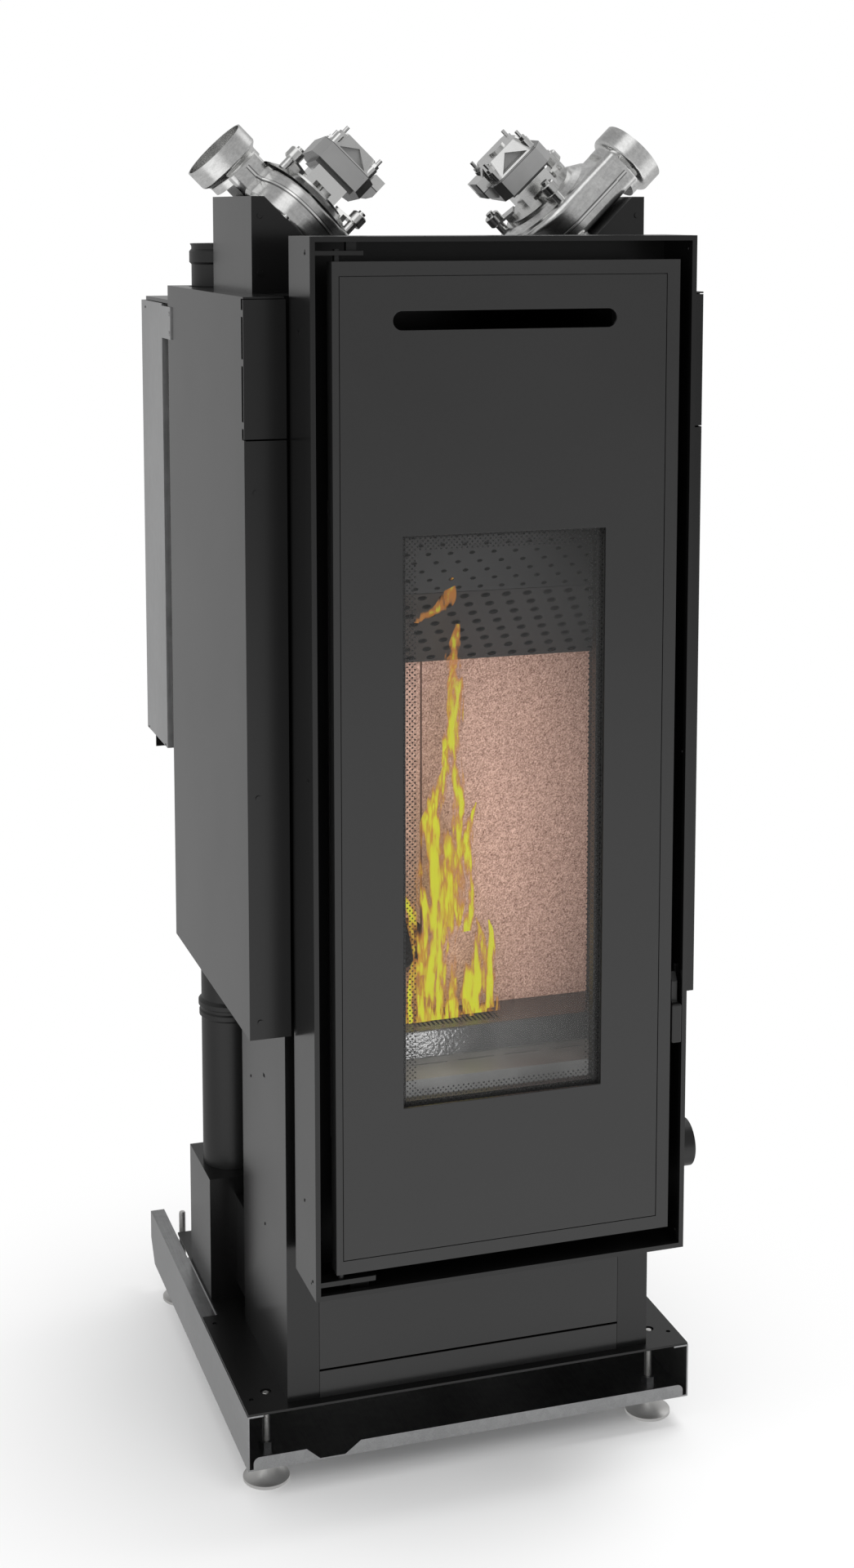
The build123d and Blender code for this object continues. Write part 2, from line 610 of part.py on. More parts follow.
# ---- Fire ----
def firebox_shell():
    """Welded combustion chamber, open in front, with a flange for the door seal."""
    z0, z1 = FIRE_Z0, FIRE_Z1
    shell = block(-FIRE_X, FIRE_X, FIRE_Y0, FIRE_Y1, z0, z1)
    shell -= block(-FIRE_X + FIRE_T, FIRE_X - FIRE_T, FIRE_Y0 - 1, FIRE_Y1 - FIRE_T, z0 + FIRE_T, z1 - FIRE_T)
    shell += ring(-FIRE_X - 17, FIRE_X + 17, FIRE_Y0, FIRE_Y0 + FIRE_T, z0 - 17, z1 + 17, 17 + FIRE_T)
    shell -= rod_y(CHUTE_X, CHUTE_Z, FIRE_Y1 - 10, FIRE_Y1 + 5, CHUTE_R)
    shell -= block(-182, -154, FIRE_Y1 - 5, FIRE_Y1 + 5, z0 + 8, z0 + 30)
    return shell


def back_boards():
    """Two vermiculite boards on the rear wall; the left one has the pellet opening."""
    y1 = FIRE_Y1 - FIRE_T
    x = FIRE_X - FIRE_T
    left = block(-x, BOARD_SEAM_X - 0.5, y1 - BOARD_T, y1, BURNER_Z, BOARD_Z1)
    left -= rod_y(CHUTE_X, CHUTE_Z, y1 - BOARD_T - 5, y1 + 5, CHUTE_R)
    right = block(BOARD_SEAM_X + 0.5, x, y1 - BOARD_T, y1, BURNER_Z, BOARD_Z1)
    return left, right


def hearth_plate():
    """Floor of the fire with two rows of air slots, folded down in front."""
    x = FIRE_X - FIRE_T
    plate = block(-x, x, FIRE_Y0 + 8, 132, HEARTH_Z - SHEET, HEARTH_Z)
    plate += block(-x, x, FIRE_Y0 + 8, FIRE_Y0 + 10, FIRE_Z0 + FIRE_T, HEARTH_Z)
    for y, shift in ((90, 0), (110, 14)):
        for i in range(5):
            x_mid = -128 + shift + i * 61
            plate -= block(x_mid - 24, x_mid + 24, y - 1.2, y + 1.2, HEARTH_Z - 5, HEARTH_Z + 5)
    return plate


def burner_block():
    """Cast burner: a raised step with a grated fire cup."""
    x = FIRE_X - FIRE_T - 1
    y1 = FIRE_Y1 - FIRE_T - BOARD_T
    outline = Polyline((112, HEARTH_Z), (y1, HEARTH_Z), (y1, BURNER_Z), (132, BURNER_Z), close=True)
    profile = make_face(outline)
    step = Pos(-x, 0, 0) * extrude(Plane.YZ * profile, 2 * x)
    rim = step.edges().filter_by(lambda e: abs(e.center().Z - BURNER_Z) < 1 and abs(e.center().Y - 132) < 1)
    step = fillet(rim, 5)
    step -= Pos(-10, 168, BURNER_Z - 8) * Box(110, 52, 18)
    for i in range(7):
        for j in range(3):
            step -= rod(-52 + i * 14, 154 + j * 14, HEARTH_Z - 5, BURNER_Z, 2.5)
    return step


def ash_pan():
    """Lift-out pan under the hearth plate."""
    pan = block(-170, 170, FIRE_Y0 + 14, 200, FIRE_Z0 + FIRE_T, HEARTH_Z - 6)
    return pan - block(-168, 168, FIRE_Y0 + 16, 198, FIRE_Z0 + FIRE_T + 1.5, HEARTH_Z)


def perforated_sheet(width, length, rows, columns, radius):
    """Flat sheet with a staggered pattern of holes."""
    pitch_x = width / columns
    pitch_y = length / rows
    holes = []
    for i in range(rows):
        for j in range(columns - i % 2):
            x = -width / 2 + pitch_x * (j + 0.5 + 0.5 * (i % 2))
            holes.append(Pos(x, -length / 2 + pitch_y * (i + 0.5)) * RegularPolygon(radius, 6))
    return extrude(Rectangle(width, length) - holes, SHEET / 2, both=True)


def smoke_baffles():
    """Two perforated sheets over the fire, the lower one leaning forwards."""
    width = 2 * (FIRE_X - FIRE_T) - 2
    lower = Pos(0, 154, 1074) * Rot(-49, 0, 0) * perforated_sheet(width, 134, 4, 12, 5)
    upper = Pos(0, 84, 1166) * Rot(-58, 0, 0) * perforated_sheet(width, 96, 4, 17, 3.5)
    return lower, upper


def igniter():
    """Ceramic glow rod through the rear wall into the fire cup."""
    socket = rod_y(-10, 553, FIRE_Y1, FIRE_Y1 + 26, 12)
    return socket + rod_y(-10, 553, FIRE_Y1 + 26, FIRE_Y1 + 60, 6)


# ---- Smoke path ----
def smoke_channel():
    """Rectangular channel from the firebox down to the smoke-fan box."""
    outer = block(-236, -176, FIRE_Y1 + 2, BOX_Y[0], 135, 259)
    outer -= block(-234, -178, FIRE_Y1 + 4, BOX_Y[0] + 1, 137, 257)
    riser = block(-214, -150, FIRE_Y1, FIRE_Y1 + 30, 258, 560)
    riser -= block(-212, -152, FIRE_Y1 + 2, FIRE_Y1 + 28, 261, 558)
    riser -= block(-182, -154, FIRE_Y1 - 5, FIRE_Y1 + 5, FIRE_Z0 + 8, FIRE_Z0 + 30)
    return outer + riser - block(-212, -178, FIRE_Y1 + 4, FIRE_Y1 + 28, 250, 262)


def smoke_box():
    """Folded box that holds the smoke fan and carries the flue pipe."""
    x1 = -150.0
    y0, y1 = BOX_Y
    z0 = RAIL_TOP + PLATE_T
    box = block(BOX_X0, x1, y0, y1, z0, BOX_Z1)
    box -= block(BOX_X0 + SHEET, x1 - SHEET, y0 + SHEET, y1 - SHEET, z0 + SHEET, BOX_Z1 - SHEET)
    box -= rod(PIPE_X, PIPE_Y, BOX_Z1 - 5, BOX_Z1 + 5, PIPE_R - SHEET)
    box -= block(-234, -178, y0 - 5, y0 + 5, 137, 257)
    return box - rod_x(PIPE_Y, 200, x1 - 5, x1 + 5, 6)


def smoke_impeller():
    """Flat-bladed smoke-fan wheel on its shaft."""
    wheel = rod_x(0, 0, 0, 2, 52)
    for i in range(8):
        blade = Pos(-14, 0, 31) * Box(28, 2, 40)
        wheel += Rot(i * 45, 0, 0) * blade
    wheel += rod_x(0, 0, -4, 6, 10)
    wheel += rod_x(0, 0, 0, 66, 4)
    return Pos(-184, PIPE_Y, 200) * wheel


def smoke_motor():
    """Motor of the smoke fan, on the inner side of its box."""
    body = rod_x(PIPE_Y, 200, -150, -146, 40) + rod_x(PIPE_Y, 200, -146, -122, 14)
    body += Pos(-104, PIPE_Y, 200) * fillet(Box(36, 76, 76).edges().filter_by(Axis.X), 10)
    body += rod_x(PIPE_Y, 200, -86, -78, 22)
    return body - rod_x(PIPE_Y, 200, -152, -116, 4 + PIN_GAP)


def flue_pipe():
    """Enamelled flue pipe with a double bead low down and a socket at the top."""
    r = PIPE_R
    bead = 505.0
    top = PIPE_TOP
    mouth = SOCKET_R
    wall = [(r - SHEET, BOX_Z1), (r, BOX_Z1)]
    wall += [(r, bead - 14), (r + 3, bead - 11), (r + 3, bead - 5), (r + 1, bead - 3)]
    wall += [(r + 1, bead + 1), (r + 4, bead + 3), (r + 4, bead + 9), (r, bead + 13)]
    wall += [(r, top - 60), (mouth + 1, top - 55), (mouth + 1, top - 27), (r + 4, top - 24)]
    wall += [(r + 4, top - 10), (mouth + 1, top - 7), (mouth + 1, top - 4), (r + 3, top)]
    wall += [(r + 2, top), (mouth, top - 4), (mouth, top - 53), (r - SHEET, top - 58)]
    outline = Polyline(*wall, close=True)
    return Pos(PIPE_X, PIPE_Y, 0) * revolve(Plane.XZ * make_face(outline), Axis.Z)


def air_intake():
    """Spigot for the combustion-air duct, flanged to the side of the body."""
    tube = rod_x(INTAKE_Y, INTAKE_Z, BODY_X, INTAKE_END, INTAKE_R)
    tube += rod_x(INTAKE_Y, INTAKE_Z, BODY_X, BODY_X + SHEET, INTAKE_R - 1)
    return tube - rod_x(INTAKE_Y, INTAKE_Z, BODY_X - 1, INTAKE_END + 1, INTAKE_R - SHEET)


def control_box():
    """Electronics box on the rear wall of the body, with a screwed lid."""
    box = block(60, 200, BODY_Y1, BODY_Y1 + 62, 640, 860)
    box = fillet(box.edges().filter_by(Axis.Y), 6)
    box -= block(62, 198, BODY_Y1 + 2, BODY_Y1 + 70, 642, 858)
    box += block(58, 202, BODY_Y1 + 62, BODY_Y1 + 64, 638, 862)
    box += block(72, 188, BODY_Y1 + 8, BODY_Y1 + 30, 655, 845)
    for z in (655, 845):
        for x in (72, 188):
            box += rod_y(x, z, BODY_Y1 + 2, BODY_Y1 + 66, 4)
    for i in range(6):
        box -= block(90, 170, BODY_Y1 + 60, BODY_Y1 + 70, 700 + i * 20, 704 + i * 20)
    return box


# ---- Warm-air boxes and blowers ----
def wedge(inset):
    """Solid wedge for the right side, reduced by inset and then open below."""
    y0, y1 = PLENUM_Y
    low = COVER_Z1 - (1 if inset else 0)
    rise = PLENUM_RISE - inset * 2 ** 0.5
    high = PLENUM_TOP - inset
    out = PLENUM_X - inset
    outline = Polyline((out, low), (out, high), (high - rise, high), (low - rise, low), close=True)
    return Pos(0, y1 - inset, 0) * extrude(Plane.XZ * make_face(outline), y1 - y0 - 2 * inset)


def plenum(side):
    """Wedge-shaped box with a 45-degree wall for the blower."""
    y0, y1 = PLENUM_Y
    box = wedge(0) - wedge(SHEET)
    box = box if side > 0 else mirror(box, Plane.YZ)
    box -= fan_place(side) * Pos(0, 0, -5) * Cylinder(36, 30)
    for z in (COVER_Z1 + 25, COVER_Z1 + 93):
        box += rod_y(side * (PLENUM_X - 10), z, y0 - 1.5, y0, 3.2)
    return box


def fan_place(side):
    """Where a blower stands on its box; the same blower is turned round for the other side."""
    lean = (-side, 0, 1)
    origin = (side * FAN_X, FAN_Y, PLENUM_RISE + FAN_X)
    return Plane(origin=origin, x_dir=(side, 0, 1), z_dir=lean).location


LUGS = [(55.4, 32.0), (-55.4, 32.0), (0.0, -64.0)]
FEET = [(-14.0, -82.0), (18.0, 70.0), (-56.0, 56.0)]
SHELL_Z0 = 2.0
SHELL_Z1 = 54.0
SHELL_ROUND = 9.0
SEAM_Z = 29.0               # parting plane of the two shells, leaning a little
SEAM_LEAN = 5.0
DOME_Z = 60.0               # raised middle of the upper shell, under the motor plate
DUCT_TOP = 50.0
PLATE_T1 = 4.0              # motor bracket and motor, over the slanted wall
BUSH_Z = (68.0, 83.0)
SPACER_Z = (64.0, 91.0)
STACK_Z = (96.0, 121.0)
SHIELD_Z = 145.0
MOTOR_TURN = -4.0


def scroll_outline(inset):
    """Plan of the scroll: a growing spiral that ends in the outlet, reduced by inset."""
    low, left, high = 79 - inset, 83 - inset, 68 - inset
    nose, right = 60 - inset, 66 - inset
    spiral = [EllipticalCenterArc((0, 0), left, low, start_angle=180, arc_size=90),
              EllipticalCenterArc((0, 0), left, high, start_angle=90, arc_size=90)]
    spiral.append(Spline((0, high), (nose, 12), tangents=((1, 0), (0.3, -1))))
    mouth = [Line((nose, 12), (right, 3 - inset)), Line((right, 3 - inset), (right, -low))]
    return make_face([*spiral, *mouth, Line((right, -low), (0, -low))])


def scroll(inset):
    """Scroll body with rounded rims, reduced by inset."""
    body = Pos(0, 0, SHELL_Z0 + inset) * extrude(scroll_outline(inset), SHELL_Z1 - SHELL_Z0 - 2 * inset)
    rims = body.edges().filter_by(lambda e: abs(e.center().Z - SEAM_Z) > 20)
    return fillet(rims, SHELL_ROUND - inset)


def outlet(inset):
    """Flat duct from the scroll to the round collar, with a shoulder below it, reduced by inset."""
    height = DUCT_TOP - SHELL_Z0 - 2 * inset
    flat = RectangleRounded(82 - 2 * inset, height, SHELL_ROUND - inset)
    start = 50.0 if inset == 0 else 40.0
    section = Plane(origin=(start, SPIGOT_Y, (SHELL_Z0 + DUCT_TOP) / 2), x_dir=(0, 1, 0), z_dir=(1, 0, 0))
    duct = section * extrude(flat, 88 - inset - start)
    throat, collar = 37 - inset, SPIGOT_R - inset
    first = 79 + inset
    last = SPIGOT_END + (1 if inset else 0)
    rise = Spline((88, throat), (SPIGOT_START, collar), tangents=((1, 0), (1, 0.2)))
    profile = [Line((first, 0), (first, throat)), Line((first, throat), (88, throat)), rise]
    profile += [Line((SPIGOT_START, collar), (last, collar)), Line((last, collar), (last, 0))]
    profile.append(Line((last, 0), (first, 0)))
    bell = revolve(make_face(profile), Axis.X)
    return duct + Pos(0, SPIGOT_Y, SPIGOT_Z) * bell


def outlet_ridge(inset):
    """Rounded ridge that carries on the rim of the scroll along the duct, reduced by inset."""
    radius = SHELL_ROUND - inset
    y, z = SHELL_ROUND - 79, SHELL_Z1 - SHELL_ROUND
    bar = Pos(64, y, z) * Rot(0, 90, 0) * Cylinder(radius, 44)
    return bar + Pos(86, y, z) * Sphere(radius)


def dome(inset):
    """Raised middle of the upper shell with a sloping flank, reduced by inset."""
    height = 10.0
    return Pos(0, 0, DOME_Z - inset - height / 2) * Cone(72 - inset, 56 - inset, height)


def seam_flange():
    """Narrow bead on the parting plane."""
    sheet = extrude(scroll_outline(-1.8), 1.2, both=True)
    return Pos(0, 0, SEAM_Z) * Rot(SEAM_LEAN, 0, 0) * sheet


def blower_shell():
    """Clam-shell casing with a leaning seam, a raised middle, inlet ring and outlet collar."""
    solid = scroll(0) + outlet(0) + outlet_ridge(0) + seam_flange()
    solid += dome(0)
    solid += rod(0, 0, 0, SHELL_Z0 + 1, 42)
    for x, y in LUGS:
        solid += rod(x, y, SHELL_Z1 - 1, BUSH_Z[0], 6)
    for x, y in FEET:
        solid += rod(x, y, 0, SHELL_Z0 + 4, 7) + rod(x, y, 0, SHELL_Z0 + 7, 4)
    solid -= scroll(SHEET) + outlet(SHEET) + outlet_ridge(SHEET) + dome(SHEET)
    solid -= rod(0, 0, -1, SHELL_Z0 + 3, 36)
    solid -= rod(0, 0, SHELL_Z1 - 4, DOME_Z + 1, 6)
    lean = Pos(0, 0, SEAM_Z) * Rot(SEAM_LEAN, 0, 0)
    lower = solid & (lean * Pos(0, 0, -100) * Box(500, 500, 200))
    upper = solid & (lean * Pos(0, 0, 100) * Box(500, 500, 200))
    return *lower.solids(), *upper.solids()


def blower_wheel():
    """Squirrel-cage wheel with forward-curved blades and its shaft."""
    count = 20
    z0, z1 = 11.0, 46.0
    wheel = rod(0, 0, z1 - 2, z1, 52)
    wheel += rod(0, 0, z0, z0 + 2, 52) - rod(0, 0, z0 - 1, z0 + 3, 44)
    blade = Pos(48, 0, (z0 + z1) / 2) * Rot(0, 0, 35) * Box(9, 1.4, z1 - z0)
    for i in range(count):
        wheel += Rot(0, 0, i * 360 / count) * blade
    return wheel + rod(0, 0, z1 - 14, z1, 10) + rod(0, 0, z1 - 16, 98, 4)


def motor_bracket():
    """Plate on the raised middle of the casing, with three arms and chamfered bushes."""
    bracket = rod(0, 0, DOME_Z, DOME_Z + PLATE_T1, 50)
    for x, y in LUGS:
        reach = (x * x + y * y) ** 0.5
        aim = Rot(0, 0, degrees(atan2(y, x)))
        bracket += aim * Pos(reach / 2 + 18, 0, BUSH_Z[0] + 1.5) * Box(reach - 36, 20, 3)
        bracket += aim * Pos(45, 0, DOME_Z + 4) * Box(10, 20, 8)
        bush = Pos(x, y, sum(BUSH_Z) / 2) * Cylinder(10.5, BUSH_Z[1] - BUSH_Z[0])
        bracket += chamfer(bush.edges().filter_by(GeomType.CIRCLE), 1.5)
        bracket += rod(x, y, BUSH_Z[1], BUSH_Z[1] + 4, 5)
    return bracket - rod(0, 0, DOME_Z - 1, DOME_Z + 5, 16)


def motor_shield():
    """Die-cast end shield: four struts round triangular windows, with studs and nuts."""
    base, top = STACK_Z[1], SHIELD_Z
    shield = loft([Pos(0, 0, base) * RectangleRounded(74, 74, 14),
                   Pos(0, 0, top) * RectangleRounded(54, 54, 8)])
    triangle = Polyline((-22, base + 3), (22, base + 3), (0, top - 4), close=True)
    window = Plane.XZ * make_face(triangle)
    for turn in (0, 90, 180, 270):
        shield -= Rot(0, 0, turn) * Pos(0, 46, 0) * extrude(window, 22)
        stud = rod(29, 29, base - 1, top + 5, 2.5)
        nut = Pos(29, 29, top - 9) * extrude(RegularPolygon(5, 6), 5)
        shield += Rot(0, 0, turn) * (stud + nut + rod(29, 29, base, top - 9, 6))
    return shield + rod(0, 0, top - 1, top + 3, 13)


def blower_motor():
    """Open motor: spacer, lamination stack between two shields, terminal block."""
    depth = SPACER_Z[1] - SPACER_Z[0]
    motor = Pos(0, 0, sum(SPACER_Z) / 2) * Box(49, 66, depth)
    motor -= Pos(0, 0, SPACER_Z[0] + 4) * Box(26, 70, 12)
    motor += Pos(0, 0, (SPACER_Z[1] + STACK_Z[0]) / 2) * Box(60, 60, STACK_Z[0] - SPACER_Z[1])
    stack = Pos(0, 0, sum(STACK_Z) / 2) * Box(84, 84, STACK_Z[1] - STACK_Z[0])
    motor += chamfer(stack.edges().filter_by(Axis.Z), 11) + motor_shield()
    outline = Polyline((-38, 99), (-54, 112), (-54, 136), (-38, 136), close=True)
    motor += Pos(0, 18, 0) * extrude(Plane.XZ * make_face(outline), 36)
    return Rot(0, 0, MOTOR_TURN) * (motor - rod(0, 0, SPACER_Z[0] - 1, 101, 4 + PIN_GAP))


def all_nodes():
    """Every node with its solids."""
    nodes = {}
    names = ("foot_front_left", "foot_front_right", "foot_rear_left", "foot_rear_right")
    for name, (x, y, top) in zip(names, rod_places()):
        nodes[name] = [foot(x, y, top)]
    nodes["rod_nuts"] = [hex_nut(x, y, TRAY_Z + SHEET, 8) for x, y, _ in rod_places()]
    nodes["base_tray"] = [base_tray()]
    nodes["base_plate"] = [base_plate()]
    nodes["body_back"] = [body_back()]
    nodes["lower_panels"] = [lower_panel(), plinth_strip()]
    nodes["top_plate"] = [top_plate()]
    nodes["front_frame"] = [front_frame()]
    nodes["recess_plate"] = [recess_plate(), outlet_duct()]
    nodes["frame_fittings"] = [*hinge_brackets(), latch_strike()]
    nodes["door_border"] = [door_border()]
    nodes["door_panel"] = [door_panel()]
    nodes["door_back"] = [door_back()]
    nodes["glass_frame"] = [inner_frame(), *glass_clips()]
    nodes["door_glass"] = [door_glass()]
    nodes["door_seals"] = [*glass_gasket(), door_seal()]
    nodes["door_pins"] = [*hinge_pins(), latch_pin()]
    nodes["door_latch"] = [door_latch()]
    for side, word in ((-1, "left"), (1, "right")):
        nodes[f"body_side_{word}"] = [body_side(side)]
        nodes[f"side_cover_{word}"] = [cover_sheet(side), cover_plate(side), *cover_screws(side)]
        nodes[f"warm_air_box_{word}"] = [plenum(side)]
        place = fan_place(side)
        nodes[f"blower_shell_{word}"] = [place * s for s in blower_shell()]
        nodes[f"blower_wheel_{word}"] = [place * blower_wheel()]
        nodes[f"blower_bracket_{word}"] = [place * motor_bracket()]
        nodes[f"blower_motor_{word}"] = [place * blower_motor()]
    nodes["hopper_sides"] = [hopper_side(-1), hopper_side(1)]
    nodes["vent_strips"] = [vent_strip(-1), vent_strip(1)]
    nodes["hopper_back"] = [hopper_back()]
    nodes["hopper_bin"] = [hopper_bin()]
    nodes["hopper_funnel"] = [hopper_funnel()]
    nodes["hopper_lid"] = [hopper_lid()]
    nodes["lid_hinge"] = lid_hinge()
    nodes["rear_posts"] = [rear_posts()]
    nodes["feed_tube"] = [feed_tube()]
    nodes["auger_screw"] = [auger_screw()]
    nodes["auger_gearmotor"] = [auger_gearmotor()]
    nodes["firebox_shell"] = [firebox_shell()]
    nodes["back_boards"] = back_boards()
    nodes["hearth_plate"] = [hearth_plate()]
    nodes["burner_block"] = [burner_block()]
    nodes["ash_pan"] = [ash_pan()]
    nodes["smoke_baffles"] = smoke_baffles()
    nodes["igniter"] = [igniter()]
    nodes["smoke_channel"] = [smoke_channel()]
    nodes["smoke_box"] = [smoke_box()]
    nodes["smoke_wheel"] = [smoke_impeller()]
    nodes["smoke_motor"] = [smoke_motor()]
    nodes["flue_pipe"] = [flue_pipe()]
    nodes["air_intake"] = [air_intake()]
    nodes["control_box"] = [control_box()]
    return nodes


os.makedirs("parts", exist_ok=True)
for node, solids in all_nodes().items():
    save(node, *solids)
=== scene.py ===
from math import ceil, cos, pi, radians, sin

import bmesh
import bpy
from mathutils import Matrix, Vector


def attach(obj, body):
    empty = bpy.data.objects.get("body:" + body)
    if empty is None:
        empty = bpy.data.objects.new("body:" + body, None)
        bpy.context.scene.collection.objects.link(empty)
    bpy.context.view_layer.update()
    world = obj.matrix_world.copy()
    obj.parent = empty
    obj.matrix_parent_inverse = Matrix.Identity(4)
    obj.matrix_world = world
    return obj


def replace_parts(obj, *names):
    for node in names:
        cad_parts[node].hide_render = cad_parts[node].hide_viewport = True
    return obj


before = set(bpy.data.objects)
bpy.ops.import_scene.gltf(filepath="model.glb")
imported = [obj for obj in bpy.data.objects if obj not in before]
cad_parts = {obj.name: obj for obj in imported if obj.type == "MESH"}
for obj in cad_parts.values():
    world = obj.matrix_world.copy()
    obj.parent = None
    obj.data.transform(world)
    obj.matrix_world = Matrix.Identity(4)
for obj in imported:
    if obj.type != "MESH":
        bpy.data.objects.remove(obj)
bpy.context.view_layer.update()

# ---- Studio ----
# A pale floor that runs into a white background, a large soft lamp high over the right side of the
# stove and weaker ones at its left and in front. The camera stands where the photographer stood.
FLOOR_REACH = 14.0
FLOOR_COLOUR = (0.93, 0.93, 0.93)
FLOOR_FADE = (0.2, 0.86)    # between these distances the floor's own colour fades into plain white
CAMERA_PLACE = Vector((-0.90433, -2.8231, 1.5826))
CAMERA_AZIMUTH = radians(-17.995)
CAMERA_ELEVATION = radians(6.958)
CAMERA_LENS = 52.26
CAMERA_DROP = -0.189        # the photograph's middle lies below the camera's axis
CAMERA_REACH = 60
WORLD_LIGHT = 0.8           # what the surroundings send to matt surfaces
ROOM_FRONT = 0.46           # what gloss sees at eye level in front of the stove, where white is 1
ROOM_BACK = 0.5             # and behind the stove
ROOM_ABOVE = 0.36
ROOM_GLOW = 0.75            # added in the directions where a large lamp would show in metal
GLOW_RIGHT = (0.42, 0.3, 0.86)
GLOW_LEFT = (-0.5, -0.6, 0.62)
FLOOR_NEAR = 1.05           # what gloss sees of the floor close to the stove
FLOOR_FAR = 0.46            # and far in front of it
FLOOR_TONES = (0.8, 11.0)   # distances at which the near and the far tone are reached
STOVE_SHADE = (0.38, 0.7)   # between these distances the stove's own shade ends
SHADE_LEFT = 0.85           # share of the tone that is left in that shade
FLOOR_BEHIND = (-0.62, -0.12)   # along Y, where the floor's tone turns into ROOM_BACK

studio = bpy.context.scene
studio.view_settings.view_transform = "Standard"

camera = bpy.data.objects.new("camera", bpy.data.cameras.new("camera"))
studio.collection.objects.link(camera)
studio.camera = camera
camera.data.lens = CAMERA_LENS
camera.data.shift_y = CAMERA_DROP
camera.data.clip_end = CAMERA_REACH
camera.location = CAMERA_PLACE
camera_back = Vector((sin(CAMERA_AZIMUTH) * cos(CAMERA_ELEVATION),
                      -cos(CAMERA_AZIMUTH) * cos(CAMERA_ELEVATION), sin(CAMERA_ELEVATION)))
camera.rotation_mode = "QUATERNION"
camera.rotation_quaternion = (-camera_back).to_track_quat("-Z", "Y")


def soft_lamp(name, place, aim, width, watts):
    """Square area lamp that points from its place at its aim and doesn't show in gloss."""
    data = bpy.data.lights.new(name, "AREA")
    data.size = width
    data.energy = watts
    lamp = bpy.data.objects.new(name, data)
    studio.collection.objects.link(lamp)
    lamp.location = place
    lamp.rotation_mode = "QUATERNION"
    lamp.rotation_quaternion = (Vector(aim) - Vector(place)).to_track_quat("-Z", "Y")
    lamp.visible_glossy = False
    return lamp


soft_lamp("key_lamp", place=(1.5, 0.0, 4.6), aim=(0, 0, 0.7), width=1.9, watts=75)
soft_lamp("left_lamp", place=(-3.2, -1.2, 3.6), aim=(0, 0, 1.0), width=1.6, watts=30)
soft_lamp("front_lamp", place=(0.9, -3.4, 3.4), aim=(0, 0, 1.0), width=1.4, watts=26)


class Socket:
    """Output of a shader node. Arithmetic on it adds Math nodes."""

    def __init__(self, finish, output):
        self.finish = finish
        self.output = output

    def math(self, operation, *others):
        values = dict(enumerate((self, *others)))
        return self.finish.add("ShaderNodeMath", {"operation": operation}, values)

    def __add__(self, other):
        return self.math("ADD", other)

    def __sub__(self, other):
        return self.math("SUBTRACT", other)

    def __rsub__(self, other):
        return self.math("MULTIPLY", -1.0) + other

    def __mul__(self, other):
        return self.math("MULTIPLY", other)

    def __truediv__(self, other):
        return self.math("DIVIDE", other)

    def __pow__(self, other):
        return self.math("POWER", other)

    def __abs__(self):
        return self.math("ABSOLUTE")

    def above(self, limit):
        return self.math("GREATER_THAN", limit)

    def below(self, limit):
        return self.math("LESS_THAN", limit)

    def larger(self, other):
        return self.math("MAXIMUM", other)

    def smaller(self, other):
        return self.math("MINIMUM", other)

    def ramp(self, low, high, start=0.0, end=1.0):
        """Smooth change from start to end between two limits."""
        return self.finish.add("ShaderNodeMapRange", {"interpolation_type": "SMOOTHSTEP", "clamp": True},
                               {"Value": self, "From Min": low, "From Max": high,
                                "To Min": start, "To Max": end})

    def part(self, axis):
        """X, Y or Z of a vector."""
        return self.finish.add("ShaderNodeSeparateXYZ", values={0: self}, output=axis)

    __radd__ = __add__
    __rmul__ = __mul__


class Finish:
    """Nodes of one material or of the world."""

    def __init__(self, owner):
        owner.use_nodes = True
        self.owner = owner
        self.tree = owner.node_tree

    def add(self, kind, settings=None, values=None, output=0):
        """Adds a node, sets it up, then feeds its sockets with values or links."""
        node = self.tree.nodes.new(kind)
        for name, value in (settings or {}).items():
            setattr(node, name, value)
        for name, value in (values or {}).items():
            self.feed(node.inputs[name], value)
        return Socket(self, node.outputs[output])

    def feed(self, socket, value):
        if isinstance(value, Socket):
            self.tree.links.new(value.output, socket)
        elif isinstance(value, tuple) and len(value) == 3 and socket.type == "RGBA":
            socket.default_value = (*value, 1)
        else:
            socket.default_value = value

    def ray(self, kind):
        return self.add("ShaderNodeLightPath", output=kind)


def object_place(finish):
    return finish.add("ShaderNodeTexCoord", output="Object")


def agreement(finish, direction, other):
    """1 where two directions are the same, less the further they turn apart."""
    return finish.add("ShaderNodeVectorMath", {"operation": "DOT_PRODUCT"},
                      {0: direction, 1: other}, "Value")


room = Finish(bpy.data.worlds.new("room"))
studio.world = room.owner
sky = room.add("ShaderNodeTexCoord", output="Generated")
towards_front = (sky.part("Y") * -1).ramp(-0.5, 0.5)
level_tone = towards_front * (ROOM_FRONT - ROOM_BACK) + ROOM_BACK
towards_top = sky.part("Z").ramp(0.1, 0.8)
glow = agreement(room, sky, GLOW_RIGHT).ramp(0.8, 0.97) + agreement(room, sky, GLOW_LEFT).ramp(0.86, 0.97)
room_tone = level_tone + towards_top * (ROOM_ABOVE - level_tone) + glow * ROOM_GLOW
straight = room.ray("Is Camera Ray").larger(room.ray("Is Transmission Ray"))
mirrored = room.ray("Is Glossy Ray") * (1 - straight)
matt_light = (1 - straight) * (1 - mirrored) * WORLD_LIGHT
room_light = room.tree.nodes["Background"]
room.feed(room_light.inputs["Strength"], straight + mirrored * room_tone + matt_light)
room.feed(room_light.inputs["Color"], (1.0, 1.0, 1.0))


